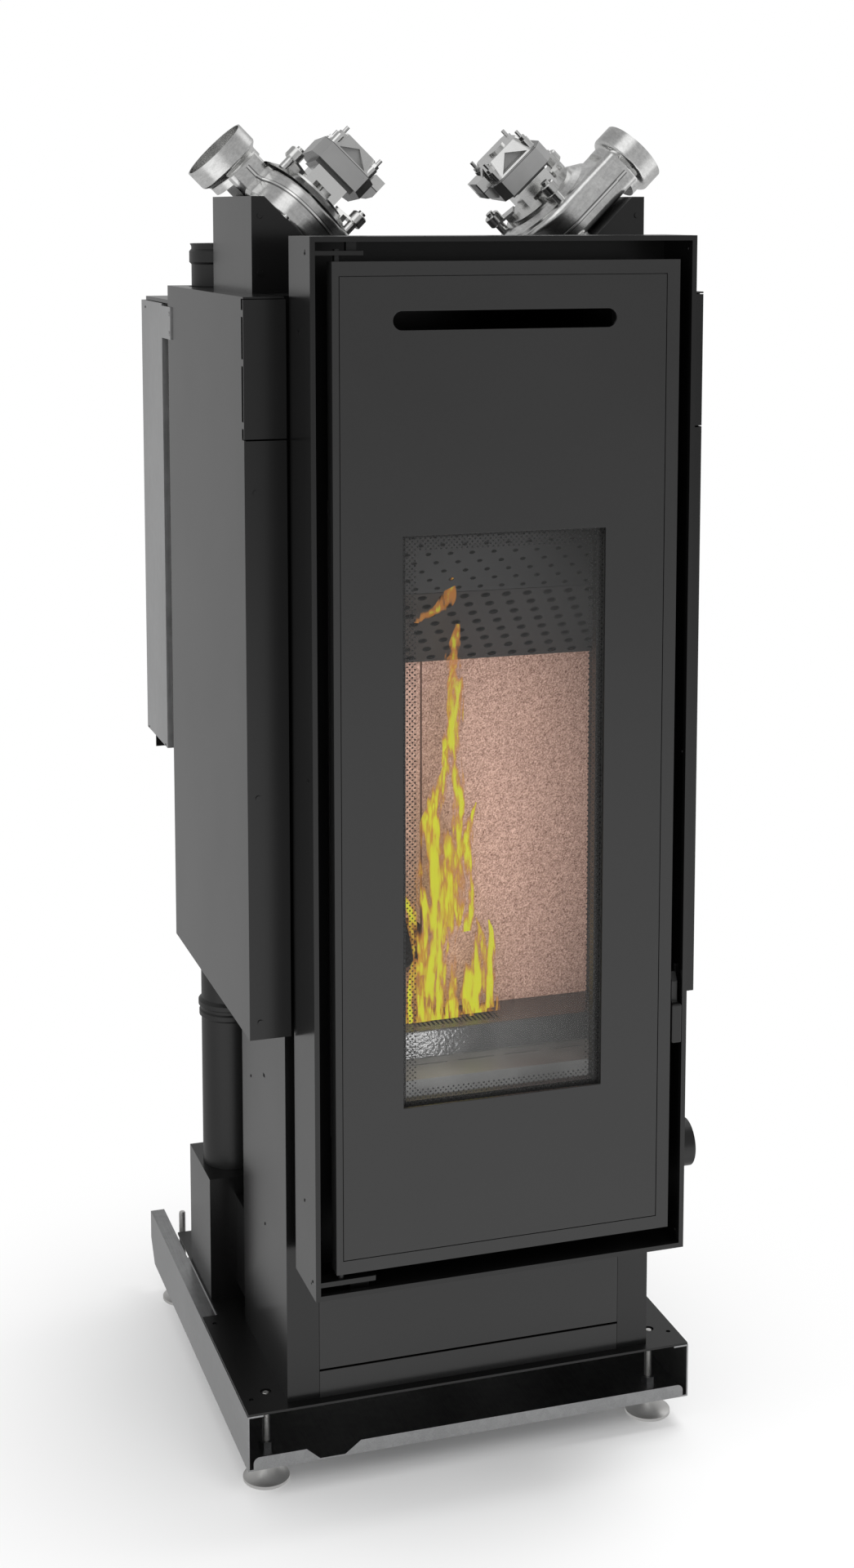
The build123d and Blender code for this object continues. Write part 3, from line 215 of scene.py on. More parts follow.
def studio_floor():
    """Paper floor: its own colour round the stove, plain white further out."""
    mesh = bpy.data.meshes.new("floor")
    shape = bmesh.new()
    bmesh.ops.create_grid(shape, x_segments=1, y_segments=1, size=FLOOR_REACH)
    shape.to_mesh(mesh)
    shape.free()
    floor = bpy.data.objects.new("floor", mesh)
    studio.collection.objects.link(floor)
    paper = Finish(bpy.data.materials.new("floor_paper"))
    shader = paper.tree.nodes["Principled BSDF"]
    paper.feed(shader.inputs["Base Color"], FLOOR_COLOUR)
    paper.feed(shader.inputs["Roughness"], 0.7)
    paper.feed(shader.inputs["Specular IOR Level"], 0.0)
    place = object_place(paper)
    away = paper.add("ShaderNodeVectorMath", {"operation": "LENGTH"}, {0: place}, "Value")
    behind = place.part("Y").ramp(*FLOOR_BEHIND)
    front_tone = away.ramp(*FLOOR_TONES, FLOOR_NEAR, FLOOR_FAR) * away.ramp(*STOVE_SHADE, SHADE_LEFT, 1.0)
    tone = front_tone + behind * (ROOM_BACK - front_tone)
    white = paper.add("ShaderNodeEmission", values={"Strength": 1.0})
    mirror = paper.add("ShaderNodeEmission", values={"Strength": tone})
    faded = paper.add("ShaderNodeMixShader", values={0: away.ramp(*FLOOR_FADE),
                                                     1: Socket(paper, shader.outputs[0]), 2: white})
    mixed = paper.add("ShaderNodeMixShader", values={0: paper.ray("Is Glossy Ray"), 1: faded, 2: mirror})
    paper.feed(paper.tree.nodes["Material Output"].inputs["Surface"], mixed)
    mesh.materials.append(paper.owner)


studio_floor()


# ---- Levelling tray ----
# Folded from 2 mm zinc-coated sheet with a notched front lip. The sheet shows fine rolling marks along
# its length, faint zinc crystals and cut edges. The weld nuts of the feet sit on its floor.
MIDDLE_X = 5.1348           # middle of the whole stove in the drawing, in millimetres
MIDDLE_Y = 358.5


def at(x, y, z):
    """A place of the drawing: millimetres from the middle of the front frame's face, on the floor."""
    return Vector(((x - MIDDLE_X) / 1000, (y - MIDDLE_Y) / 1000, z / 1000))


def stretched(finish, scale):
    """Object coordinates, scaled apart along X, Y and Z."""
    return finish.add("ShaderNodeMapping", values={"Vector": object_place(finish), "Scale": scale})


def noise(finish, scale, detail=3.0, place=None, roughness=0.5):
    place = place or object_place(finish)
    return finish.add("ShaderNodeTexNoise", values={"Vector": place, "Scale": scale, "Detail": detail,
                                                    "Roughness": roughness})


def cells(finish, scale, place=None):
    """Random value per crystal or flake."""
    place = place or object_place(finish)
    return finish.add("ShaderNodeTexVoronoi", values={"Vector": place, "Scale": scale},
                      output="Color").part("X")


def blend(finish, amount, first, second):
    """Colour between two others."""
    return finish.add("ShaderNodeMix", {"data_type": "RGBA"}, {0: amount, 6: first, 7: second}, 2)


def bump(finish, height, strength, reach):
    return finish.add("ShaderNodeBump", values={"Height": height, "Strength": strength, "Distance": reach})


SHADER_SOCKETS = {"colour": "Base Color", "metal": "Metallic", "roughness": "Roughness", "ior": "IOR",
                  "alpha": "Alpha", "normal": "Normal", "gloss": "Specular IOR Level",
                  "glow": "Emission Color", "glow_strength": "Emission Strength"}


def wear(finish, **surface):
    """Feeds sockets of the principled shader, by the words of SHADER_SOCKETS."""
    for name, value in surface.items():
        finish.feed(finish.shader.inputs[SHADER_SOCKETS[name]], value)


def new_finish(name, **surface):
    """Material with one principled shader, whose constant values are set here."""
    finish = Finish(bpy.data.materials.new(name))
    finish.shader = finish.tree.nodes["Principled BSDF"]
    wear(finish, **surface)
    return finish


def dress(finish, *names):
    """Gives a finish to CAD nodes by name."""
    for name in names:
        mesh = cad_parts[name].data
        mesh.materials.clear()
        mesh.materials.append(finish.owner)


def zinc_sheet(name, grain_scale, dark, pale, crystals, roughness):
    """Zinc-coated sheet, rolled along the axis with the smallest grain scale."""
    zinc = new_finish(name, metal=1.0)
    flake = cells(zinc, 120.0)
    rolled = noise(zinc, 1.0, 5.0, stretched(zinc, grain_scale))
    cloud = noise(zinc, 5.0)
    tone = flake * crystals + rolled * (0.65 - crystals) + cloud * 0.35
    wear(zinc, colour=blend(zinc, tone.ramp(0.25, 0.75), dark, pale),
         roughness=flake * crystals * 0.3 + rolled * 0.14 + roughness,
         normal=bump(zinc, rolled, 0.12, 0.0003))
    return zinc


tray_zinc = zinc_sheet("tray_zinc", grain_scale=(1200.0, 26.0, 1200.0), dark=(0.27, 0.272, 0.275),
                       pale=(0.4, 0.403, 0.407), crystals=0.1, roughness=0.24)
dress(tray_zinc, "base_tray", "rod_nuts")


# ---- Levelling feet ----
# Turned from steel in one piece with a satin finish: a cone and an M10 rod, which screws through the
# tray's weld nut, so that the foot goes up and down along its thread.
FOOT_EDGE = 0.0295
RIM_CHAMFER = 0.0012
RIM_TOP = 0.0046            # the cone's straight rim ends here and the hollow flank begins
HOLLOW_START = 0.005
HOLLOW_WIDTH = 0.0185       # how far the flank reaches in and up
HOLLOW_RISE = 0.027
HOLLOW_STEPS = 9
ROD_START = 0.036
ROD_RADIUS = 0.0049
ROD_CHAMFER = 0.0008
THREAD_ROOT = 0.00425
THREAD_PITCH = 0.0015
THREAD_STEPS = 14           # facets in one turn of the thread
FEET = {"front_left": (-260, 157, 114), "front_right": (260, 157, 114),
        "rear_left": (-260, 660, 132), "rear_right": (260, 660, 132)}   # x, y and top of each rod


def satin_steel(name, dark, pale, roughness):
    steel = new_finish(name, metal=1.0)
    grain = noise(steel, 1.0, 4.0, stretched(steel, (60.0, 60.0, 2400.0)))
    cloud = noise(steel, 18.0)
    wear(steel, colour=blend(steel, cloud * 0.5 + grain * 0.5, dark, pale),
         roughness=grain * 0.16 + roughness, normal=bump(steel, grain, 0.1, 0.0002))
    return steel


def turned(shape, profile, place, steps):
    """Spins a profile of (radius, height) fully round an upright axis at a place."""
    points = [shape.verts.new(place + Vector((radius, 0, height))) for radius, height in profile]
    lines = [shape.edges.new(pair) for pair in zip(points, points[1:])]
    bmesh.ops.spin(shape, geom=points + lines, cent=place, axis=(0, 0, 1), angle=2 * pi, steps=steps,
                   use_merge=True)


def new_piece(name, shape, finish, body, crease=35):
    """Makes an object of a shape, gives it a finish and lets it ride on a body."""
    bmesh.ops.remove_doubles(shape, verts=shape.verts, dist=2e-6)
    bmesh.ops.recalc_face_normals(shape, faces=shape.faces)
    for face in shape.faces:
        face.smooth = True
    mesh = bpy.data.meshes.new(name)
    shape.to_mesh(mesh)
    shape.free()
    mesh.set_sharp_from_angle(angle=radians(crease))
    mesh.materials.append(finish.owner)
    piece = bpy.data.objects.new(name, mesh)
    studio.collection.objects.link(piece)
    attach(piece, body)
    return piece


def thread(shape, place, start, end):
    """Helical ridge of triangular section round a rod, sunk a little into its core."""
    core = THREAD_ROOT - 0.0002
    corners = [(core, start), (ROD_RADIUS, start + THREAD_PITCH / 2), (core, start + THREAD_PITCH * 0.94)]
    points = [shape.verts.new(place + Vector((radius, 0, height))) for radius, height in corners]
    lines = [shape.edges.new((points[i], points[i - 1])) for i in range(3)]
    turns = int((end - start) / THREAD_PITCH) - 1
    bmesh.ops.spin(shape, geom=points + lines, cent=place, axis=(0, 0, 1), angle=2 * pi * turns,
                   dvec=(0, 0, THREAD_PITCH / THREAD_STEPS), steps=THREAD_STEPS * turns, use_merge=False)
    ends = [edge for edge in shape.edges if edge.is_boundary]
    bmesh.ops.holes_fill(shape, edges=ends, sides=3)


def levelling_foot(word, x, y, top):
    """Cone, core of the rod and thread of one foot, in one closed profile and one ridge."""
    name = "foot_" + word
    place = at(x, y, 0)
    rod_top = top / 1000
    shape = bmesh.new()
    thread(shape, place, ROD_START, rod_top - 0.001)
    turns = [pi / 2 * i / HOLLOW_STEPS for i in range(1, HOLLOW_STEPS + 1)]
    flank = [(FOOT_EDGE - HOLLOW_WIDTH * sin(turn) ** 1.25, HOLLOW_START + HOLLOW_RISE * (1 - cos(turn)))
             for turn in turns]
    cone = [(0, 0), (FOOT_EDGE - RIM_CHAMFER, 0), (FOOT_EDGE, RIM_CHAMFER), (FOOT_EDGE, RIM_TOP), *flank]
    neck = [(0.0102, 0.0332), (THREAD_ROOT + 0.0004, 0.0345), (THREAD_ROOT, ROD_START)]
    rod = [(THREAD_ROOT, rod_top - ROD_CHAMFER), (THREAD_ROOT - ROD_CHAMFER, rod_top), (0, rod_top)]
    turned(shape, cone + neck + rod, place, steps=48)
    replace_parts(new_piece(name + "_threaded", shape, foot_steel, name), name)


foot_steel = satin_steel("foot_steel", dark=(0.55, 0.545, 0.535), pale=(0.78, 0.775, 0.76), roughness=0.33)
for word, (x, y, top) in FEET.items():
    levelling_foot(word, x, y, top)


# ---- Body ----
# Bent from 2 mm sheet and sprayed with black gloss-satin paint, which keeps a fine orange peel and a
# thin dust that dulls it in places. Side walls with their posts, back, top plate, lower panels and the
# plate on the tray.
def grey(value):
    return value, value, value


def stove_paint(name, dark, pale, roughness, peel=0.1):
    """Sprayed paint between two greys, or two colours, with an orange peel of some strength."""
    paint = new_finish(name, gloss=0.5, ior=1.5)
    grain = noise(paint, 900.0, 2.0)
    mist = noise(paint, 7.0, 5.0)
    drops = noise(paint, 240.0, 3.0)
    wear(paint, colour=blend(paint, mist * 0.6 + drops * 0.4, dark, pale),
         roughness=mist * 0.06 + drops * 0.04 + roughness,
         normal=bump(paint, grain * 0.6 + drops * 0.4, peel, 0.00015))
    return paint


def fasteners(name, places, facing, radius):
    """Black button heads with a socket, one mesh for a group of screws that face the same way."""
    facing = Vector(facing)
    turn = Vector((0, 0, 1)).rotation_difference(facing).to_matrix().to_4x4()
    shape = bmesh.new()
    for place in places:
        seat = Matrix.Translation(at(*place)) @ turn
        head = bmesh.ops.create_cone(shape, cap_ends=True, segments=14, radius1=radius,
                                     radius2=radius * 0.68, depth=radius * 0.5, matrix=seat)
        faces = {face for vert in head["verts"] for face in vert.link_faces}
        for face in faces:
            face.normal_update()
        top = max(faces, key=lambda face: face.normal.dot(facing) + face.calc_area())
        bmesh.ops.inset_region(shape, faces=[top], thickness=radius * 0.3)
        bmesh.ops.inset_region(shape, faces=[top], thickness=radius * 0.02, depth=-radius * 0.3)
    new_piece(name, shape, screw_black, "stove")


def side_fasteners(name, x, places, radius):
    """The same (y, z) places on both sides of the stove, at a distance x from its middle."""
    for word, side in (("left", -1), ("right", 1)):
        fasteners(name + "_" + word, [(side * x, y, z) for y, z in places], (side, 0, 0), radius)


body_paint = stove_paint("body_paint", grey(0.0035), grey(0.0065), roughness=0.17)
dress(body_paint, "body_side_left", "body_side_right", "body_back", "top_plate")
panel_paint = stove_paint("panel_paint", grey(0.014), grey(0.019), roughness=0.2, peel=0.08)
dress(panel_paint, "lower_panels")
plate_paint = stove_paint("plate_paint", grey(0.002), grey(0.004), roughness=0.3, peel=0.3)
dress(plate_paint, "base_plate")
screw_black = satin_steel("screw_black", grey(0.012), grey(0.04), roughness=0.3)
side_fasteners("body_screws", 241, [(230, 497), (300, 470), (230, 300)], radius=0.0026)


# ---- Air intake ----
# Round sheet spigot on the right body side, where the hose for the combustion air is pushed on.
# Sprayed a little duller than the body.
intake_paint = stove_paint("intake_paint", grey(0.004), grey(0.008), roughness=0.24, peel=0.2)
dress(intake_paint, "air_intake")


# ---- Smoke path ----
# Welded flue pipe of 2 mm steel with a socket and gasket beads, on the folded box of the smoke fan. The
# pipe has matt heat-proof paint, which looks slightly sandy, and the box is sprayed satin black.
flue_paint = stove_paint("flue_paint", grey(0.008), grey(0.014), roughness=0.36, peel=0.5)
dress(flue_paint, "flue_pipe")
box_paint = stove_paint("box_paint", grey(0.0035), grey(0.0065), roughness=0.19, peel=0.15)
dress(box_paint, "smoke_box", "smoke_channel")


# ---- Firebox ----
# Welded shell of thick sheet, sooted and heat-proof. At the back stand two boards of pressed
# vermiculite with a wormy speckle, parted by a fine joint.
BOARD_JOINT = -40           # the line between the two boards
VERMICULITE_DARK = (0.19, 0.095, 0.068)
VERMICULITE_PALE = (0.8, 0.52, 0.415)

fire_paint = stove_paint("fire_paint", (0.01, 0.0098, 0.0095), (0.022, 0.0215, 0.021), roughness=0.45,
                         peel=0.8)
dress(fire_paint, "firebox_shell")


def vermiculite_finish():
    board = new_finish("vermiculite", gloss=0.15, roughness=0.85)
    bent = noise(board, 200.0, 2.0) * 0.02
    place = object_place(board)
    worms = board.add("ShaderNodeVectorMath", {"operation": "ADD"}, {0: place, 1: bent})
    flake = cells(board, 350.0, worms)
    crumbs = noise(board, 560.0, 2.0, worms)
    pale = crumbs.ramp(0.42, 0.58) * 0.6 + flake * 0.4
    joint = abs(place.part("X") - at(BOARD_JOINT, 0, 0).x).ramp(0.0006, 0.0016)
    pale = pale * joint - (1 - joint)
    wear(board, colour=blend(board, pale, VERMICULITE_DARK, VERMICULITE_PALE),
         normal=bump(board, pale, 0.6, 0.0008))
    return board


dress(vermiculite_finish(), "back_boards")


# ---- Burner ----
# Cast grey iron: a raised step with a rounded edge, a rippled casting skin and the fire cup, behind a
# hearth plate with two rows of air slots. A folded ash pan lifts out from below that plate.
GRATE_TOP = 567.4
GRATE_BARS = 18
BAR_PITCH = 6.1
BAR_SIZE = (0.0038, 0.0515, 0.003)
RIM_SIZE = (0.1095, 0.005, 0.003)


def cast_finish(name, ripple, dark, pale, roughness):
    """Cast iron with soot and, by its ripple, an uneven skin."""
    cast = new_finish(name, gloss=0.5, ior=1.5)
    grain = noise(cast, 600.0, 3.0)
    waves = noise(cast, 1.0, 2.0, stretched(cast, (260.0, 420.0, 90.0)))
    soot = noise(cast, 11.0, 4.0)
    wear(cast, colour=blend(cast, soot.ramp(0.3, 0.7), dark, pale), roughness=soot * 0.16 + roughness,
         normal=bump(cast, grain * 0.1 + waves * ripple, 0.5, 0.0014))
    return cast


burner_iron = cast_finish("burner_iron", ripple=1.6, dark=(0.03, 0.03, 0.0295), pale=(0.06, 0.06, 0.059),
                          roughness=0.07)
dress(burner_iron, "burner_block")
hearth_iron = cast_finish("hearth_iron", ripple=0.1, dark=(0.05, 0.05, 0.049), pale=(0.1, 0.1, 0.098),
                          roughness=0.28)
dress(hearth_iron, "hearth_plate")
dress(tray_zinc, "ash_pan")


def fire_grate():
    """Slotted lid of the fire cup, flush with the burner's top."""
    shape = bmesh.new()
    for i in range(GRATE_BARS):
        bar = bmesh.ops.create_cube(shape, size=1.0)["verts"]
        bmesh.ops.scale(shape, vec=BAR_SIZE, verts=bar)
        bmesh.ops.translate(shape, vec=at(-62 + i * BAR_PITCH, 168, GRATE_TOP), verts=bar)
    for y in (144.8, 191.2):
        rim = bmesh.ops.create_cube(shape, size=1.0)["verts"]
        bmesh.ops.scale(shape, vec=RIM_SIZE, verts=rim)
        bmesh.ops.translate(shape, vec=at(-10, y, GRATE_TOP - 0.1), verts=rim)
    bmesh.ops.bevel(shape, geom=list(shape.edges), offset=0.0003, affect="EDGES", segments=1, profile=0.5,
                    material=-1)
    new_piece("fire_grate", shape, burner_iron, "stove")


fire_grate()


# ---- Fire ----
# Wood-pellet fire that stands on the grate: bent tongues of burning gas, yellow inside with torn orange
# edges, thinner and more broken the higher they reach. It lights the boards and the burner's top.
FLAME_DEPTH = 160           # where the tongues stand on the grate, from front to back
FLAME_SPREAD = 1.5          # torn edges make a tongue look narrower than its sheet
FLAME_BEND = 1000           # from this height the gas leans forward under the lower baffle
LEAN_FORWARD = 0.5
LEAN_LEFT = 0.33            # sideways and upward drift for each millimetre forward
LEAN_UP = 0.16
FLAME_ORANGE = (0.62, 0.24, 0.045)
FLAME_YELLOW = (0.74, 0.76, 0.035)
TONGUES = [                 # each tongue: x, z and width along its middle line
    [(-30, 570, 62), (-34, 620, 46), (-36, 665, 36), (-34, 705, 44), (-30, 745, 46), (-31, 790, 30),
     (-39, 835, 17), (-34, 870, 11), (-27, 897, 3)],
    [(-20, 690, 24), (-10, 745, 22), (-1, 795, 18), (-4, 850, 15), (-12, 900, 16), (-10, 950, 19),
     (-8, 990, 15), (-14, 1030, 13), (-11, 1055, 8), (-7, 1076, 2)],
    [(-46, 630, 22), (-58, 678, 14), (-69, 720, 9), (-77, 742, 2)],
    [(8, 570, 62), (14, 604, 46), (22, 640, 24), (27, 668, 12), (23, 694, 2)],
    [(32, 580, 16), (37, 632, 11), (41, 668, 7), (37, 692, 2)],
    [(-61, 570, 30), (-58, 620, 22), (-49, 662, 13), (-46, 704, 2)],
    [(-37, 775, 12), (-41, 820, 15), (-28, 862, 13), (-21, 925, 9), (-14, 985, 7), (-9, 1022, 2)],
    [(8, 680, 12), (15, 735, 10), (11, 800, 9), (20, 845, 2)],
    [(-60, 1080, 5), (-45, 1090, 14), (-28, 1096, 15), (-18, 1110, 13), (-12, 1134, 2)]]


def on_path(path, share):
    """Smooth point of a path of stations, where share goes from 0 to 1."""
    last = len(path) - 1
    place = share * last
    i = min(int(place), last - 1)
    t = place - i
    before, start, end, after = (Vector(path[min(max(k, 0), last)]) for k in (i - 1, i, i + 1, i + 2))
    return 0.5 * (2 * start + (end - before) * t + (2 * before - 5 * start + 4 * end - after) * t * t
                  + (3 * start - before - 3 * end + after) * t * t * t)


def fire_finish():
    """Glowing gas, densest in the middle of a tongue and torn by two sizes of noise."""
    fire = new_finish("burning_gas", colour=(0.0, 0.0, 0.0), gloss=0.0, roughness=1.0, glow_strength=1.0)
    strip = fire.add("ShaderNodeUVMap", {"uv_map": "tongue"})
    inside = 1 - abs(strip.part("X") - 0.5) * 2
    torn = noise(fire, 1.0, 5.0, stretched(fire, (110.0, 60.0, 15.0)), 0.55)
    holes = noise(fire, 1.0, 3.0, stretched(fire, (210.0, 90.0, 34.0)))
    height = object_place(fire).part("Z").ramp(0.9, 1.12)
    body = (inside.ramp(0.0, 0.9) * 0.95 + (torn - 0.5) * (4.2 - height * 0.6)
            + (holes - 0.5) * (2.9 + height) + height * 0.12)
    warmth = (body - height * 0.75).ramp(0.3, 1.25)
    wear(fire, glow=blend(fire, warmth, FLAME_ORANGE, FLAME_YELLOW),
         alpha=body.ramp(-0.1, 0.85) * (0.94 - height * 0.34))
    return fire


def flames():
    shape = bmesh.new()
    shape.loops.layers.uv.new("tongue")
    for k, path in enumerate(TONGUES):
        sheet = bmesh.ops.create_grid(shape, x_segments=4, y_segments=36, size=0.5, calc_uvs=True)["verts"]
        for vert in sheet:
            x, z, width = on_path(path, vert.co.y + 0.5)
            forward = max(0, z - FLAME_BEND) * LEAN_FORWARD
            sway = 3 * (k % 4) + 5 * sin(z / 30 + k) + 6 * vert.co.x * sin(z / 45)
            vert.co = at(x + vert.co.x * width * FLAME_SPREAD - forward * LEAN_LEFT,
                         FLAME_DEPTH - forward + sway, z + forward * LEAN_UP)
    new_piece("flames", shape, fire_finish(), "stove")


flames()

fire_light = soft_lamp("fire_light", place=at(0, 28, 790), aim=at(0, 220, 790), width=0.3, watts=1.02)
fire_light.data.shape = "RECTANGLE"
fire_light.data.size_y = 0.55
fire_light.visible_camera = False
ember_light = soft_lamp("ember_light", place=at(-38, 72, 656), aim=at(-62, 122, 556), width=0.05, watts=0.15)
ember_light.visible_camera = False
ember_light.visible_glossy = True


# ---- Smoke baffles ----
# Two sheets of heat-proof steel over the fire, with staggered oval holes punched right through, which
# turn the smoke on its way up. They lean across the firebox from one side wall to the other.
BAFFLE_WIDTH = 0.372
BAFFLE_SHEET = 0.0015


def whole(shape):
    return list(shape.verts) + list(shape.edges) + list(shape.faces)


def perforated_sheet(name, middle, lean, length, hole, pitch, row, shift):
    """Sheet of sheared cells, each with a hole, trimmed at the sides."""
    shape = bmesh.new()
    corners = [(-1, -1), (1, -1), (1, 1), (-1, 1)]
    outer = [shape.verts.new((i * pitch / 2 + j * shift / 2, j * row / 2, 0)) for i, j in corners]
    lines = [shape.edges.new((outer[i - 1], outer[i])) for i in range(4)]
    inner = bmesh.ops.create_circle(shape, segments=12, radius=1.0)["verts"]
    bmesh.ops.scale(shape, vec=(*hole, 1.0), verts=inner)
    lines += list({edge for vert in inner for edge in vert.link_edges})
    bmesh.ops.bridge_loops(shape, edges=lines)
    across = ceil(BAFFLE_WIDTH / pitch) + 4
    rows = round(length / row)
    cell = whole(shape)
    for i in range(1, across):
        copy = bmesh.ops.duplicate(shape, geom=cell)["geom"]
        moved = [part for part in copy if isinstance(part, bmesh.types.BMVert)]
        bmesh.ops.translate(shape, vec=(i * pitch, 0, 0), verts=moved)
    strip = whole(shape)
    for j in range(1, rows):
        copy = bmesh.ops.duplicate(shape, geom=strip)["geom"]
        moved = [part for part in copy if isinstance(part, bmesh.types.BMVert)]
        bmesh.ops.translate(shape, vec=(j * shift - pitch * int(j * shift / pitch), j * row, 0), verts=moved)
    bmesh.ops.remove_doubles(shape, verts=shape.verts, dist=2e-5)
    bmesh.ops.translate(shape, vec=(-(across - 1) * pitch / 2, -(rows - 1) * row / 2, 0), verts=shape.verts)
    for side in (-1, 1):
        bmesh.ops.bisect_plane(shape, geom=whole(shape), plane_co=(side * BAFFLE_WIDTH / 2, 0, 0),
                               plane_no=(side, 0, 0), clear_outer=True)
    bmesh.ops.recalc_face_normals(shape, faces=shape.faces)
    bmesh.ops.solidify(shape, geom=list(shape.faces), thickness=BAFFLE_SHEET)
    bmesh.ops.rotate(shape, cent=(0, 0, 0), matrix=Matrix.Rotation(lean, 3, "X"), verts=shape.verts)
    bmesh.ops.translate(shape, vec=middle, verts=shape.verts)
    return new_piece(name, shape, baffle_steel, "stove", crease=30)


baffle_steel = stove_paint("baffle_steel", (0.02, 0.02, 0.021), (0.038, 0.038, 0.039), roughness=0.34,
                           peel=0.4)
lower_baffle = perforated_sheet("baffle_lower", at(0, 154, 1074), lean=radians(-49), length=0.134,
                                hole=(0.006, 0.0045), pitch=0.027, row=0.0168, shift=0.009)
perforated_sheet("baffle_upper", at(0, 84, 1166), lean=radians(-58), length=0.096,
                 hole=(0.0036, 0.0026), pitch=0.0275, row=0.0137, shift=0.012)
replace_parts(lower_baffle, "smoke_baffles")


# ---- Front frame ----
# Deep frame welded from thin sheet with a narrow front lip, sprayed as the body. It carries the hinge
# brackets and the latch's strike, and a black recess plate joins it to the body behind the door.
frame_paint = stove_paint("frame_paint", grey(0.0035), grey(0.0065), roughness=0.17, peel=0.08)
dress(frame_paint, "front_frame")
recess_paint = stove_paint("recess_paint", grey(0.002), grey(0.004), roughness=0.3, peel=0.2)
dress(recess_paint, "recess_plate", "frame_fittings")
side_fasteners("frame_screws", 236.2, [(22, 1534), (46, 1443), (23, 927), (50, 408), (15, 322)],
               radius=0.0024)


# ---- Door ----
# Steel door, sprayed anthracite: a border, a flush panel with the window and the warm-air slot, a back
# sheet, and a ceramic glass with a black dotted print round its edge, which a frame clamps from behind.
# A fibre-glass rope seals the door.
DOOR_EDGE = 0.0006          # radius that paint and tools leave on the folded and cut edges
WINDOW_LEFT, WINDOW_RIGHT = at(-127.4, 0, 0).x, at(123.4, 0, 0).x
WINDOW_FOOT, WINDOW_TOP = 0.5276, 1.2108
PRINT_BAND = 0.0185         # how far the print reaches in from the window's edge
PANE_MIDDLE = -0.3505       # the print is on the rear face of the pane
DOT_PITCH = 0.0064
DOT_RADIUS = 0.0011
PRINT_BLACK = grey(0.004)
GLASS_FILM = (0.1, 0.1, 0.098)


def soften(width, *names):
    """Rounds the edges of CAD nodes a little."""
    for name in names:
        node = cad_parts[name]
        node.modifiers.new("joined", "WELD").merge_threshold = 2e-6
        edge = node.modifiers.new("soft_edge", "BEVEL")
        edge.width = width
        edge.segments = 2
        edge.limit_method = "ANGLE"
        edge.angle_limit = radians(40)


front_paint = stove_paint("front_paint", grey(0.018), grey(0.024), roughness=0.2, peel=0.08)
dress(front_paint, "door_border", "door_panel")
soften(DOOR_EDGE, "door_border", "door_panel")
dress(recess_paint, "glass_frame", "door_pins")
dress(stove_paint("inner_paint", grey(0.012), grey(0.018), roughness=0.26), "door_back")


def glass_finish():
    """Glass with a thin grey film and rows of printed dots, every second row set over by half."""
    glass = new_finish("ceramic_glass", roughness=0.02, gloss=0.5)
    place = object_place(glass)
    x, z = place.part("X"), place.part("Z")
    row = (z / (DOT_PITCH / 2)).math("ROUND")
    odd = abs(row.math("MODULO", 2.0))
    from_row = abs(z - row * (DOT_PITCH / 2))
    column = (x / DOT_PITCH + odd * 0.5).math("FRACT") - 0.5
    from_dot = ((column * DOT_PITCH) ** 2.0 + from_row ** 2.0) ** 0.5
    dots = from_dot.below(DOT_RADIUS) * place.part("Y").above(PANE_MIDDLE)
    edge = (x - WINDOW_LEFT).smaller(WINDOW_RIGHT - x).smaller((z - WINDOW_FOOT).smaller(WINDOW_TOP - z))
    printed = dots * edge.below(PRINT_BAND)
    film = noise(glass, 6.0, 4.0).ramp(0.3, 0.75, 0.11, 0.15)
    wear(glass, colour=blend(glass, printed, GLASS_FILM, PRINT_BLACK), alpha=film.larger(printed))
    return glass


dress(glass_finish(), "door_glass")


def rope_finish():
    rope = new_finish("glass_fibre_rope", gloss=0.2, roughness=0.9)
    braid = noise(rope, 1.0, 2.0, stretched(rope, (400.0, 400.0, 900.0)))
    wear(rope, colour=blend(rope, braid, (0.02, 0.02, 0.02), (0.11, 0.11, 0.105)),
         normal=bump(rope, braid, 0.6, 0.001))
    return rope


dress(rope_finish(), "door_seals")


# ---- Latch ----
# Finger block of plastic-coated steel on its pin. Its hook holds under the frame's strike.
# The coating is black and slightly rough.
latch_paint = stove_paint("latch_paint", grey(0.006), grey(0.012), roughness=0.26, peel=0.4)
dress(latch_paint, "door_latch")


# ---- Side covers ----
# Folded sheets that close the space beside the firebox, a long lower one and a short upper plate on the
# front that meets it at a seam. Sprayed as the body and fixed with pan-head screws.
cover_paint = stove_paint("cover_paint", grey(0.0035), grey(0.0065), roughness=0.17, peel=0.08)
dress(cover_paint, "side_cover_left", "side_cover_right")


# ---- Pellet hopper ----
# Side panels of plain zinc-coated sheet, a painted back, vent strips, a welded bin with its funnel and
# a lid on a rear hinge. Two channel posts carry it.
panel_zinc = zinc_sheet("panel_zinc", grain_scale=(700.0, 700.0, 16.0), dark=(0.42, 0.422, 0.424),
                        pale=(0.56, 0.562, 0.565), crystals=0.08, roughness=0.3)
dress(panel_zinc, "hopper_sides")
dress(body_paint, "hopper_back", "hopper_bin", "hopper_funnel", "hopper_lid", "vent_strips", "rear_posts")
plated = satin_steel("plated_steel", dark=(0.42, 0.42, 0.41), pale=(0.6, 0.6, 0.58), roughness=0.24)
dress(plated, "lid_hinge")
side_fasteners("panel_rivets", 292, [(672, 1449), (689, 850), (572, 850)], radius=0.0022)


# ---- Warm-air boxes ----
# Two folded boxes with a slanted wall, on which the blowers stand. Sprayed as the body, with two screws
# each at the front.
dress(cover_paint, "warm_air_box_left", "warm_air_box_right")
for word, side in (("left", -1), ("right", 1)):
    fasteners("box_screws_" + word, [(side * 243, 200, 1575), (side * 243, 200, 1509)], (0, -1, 0),
              radius=0.0032)
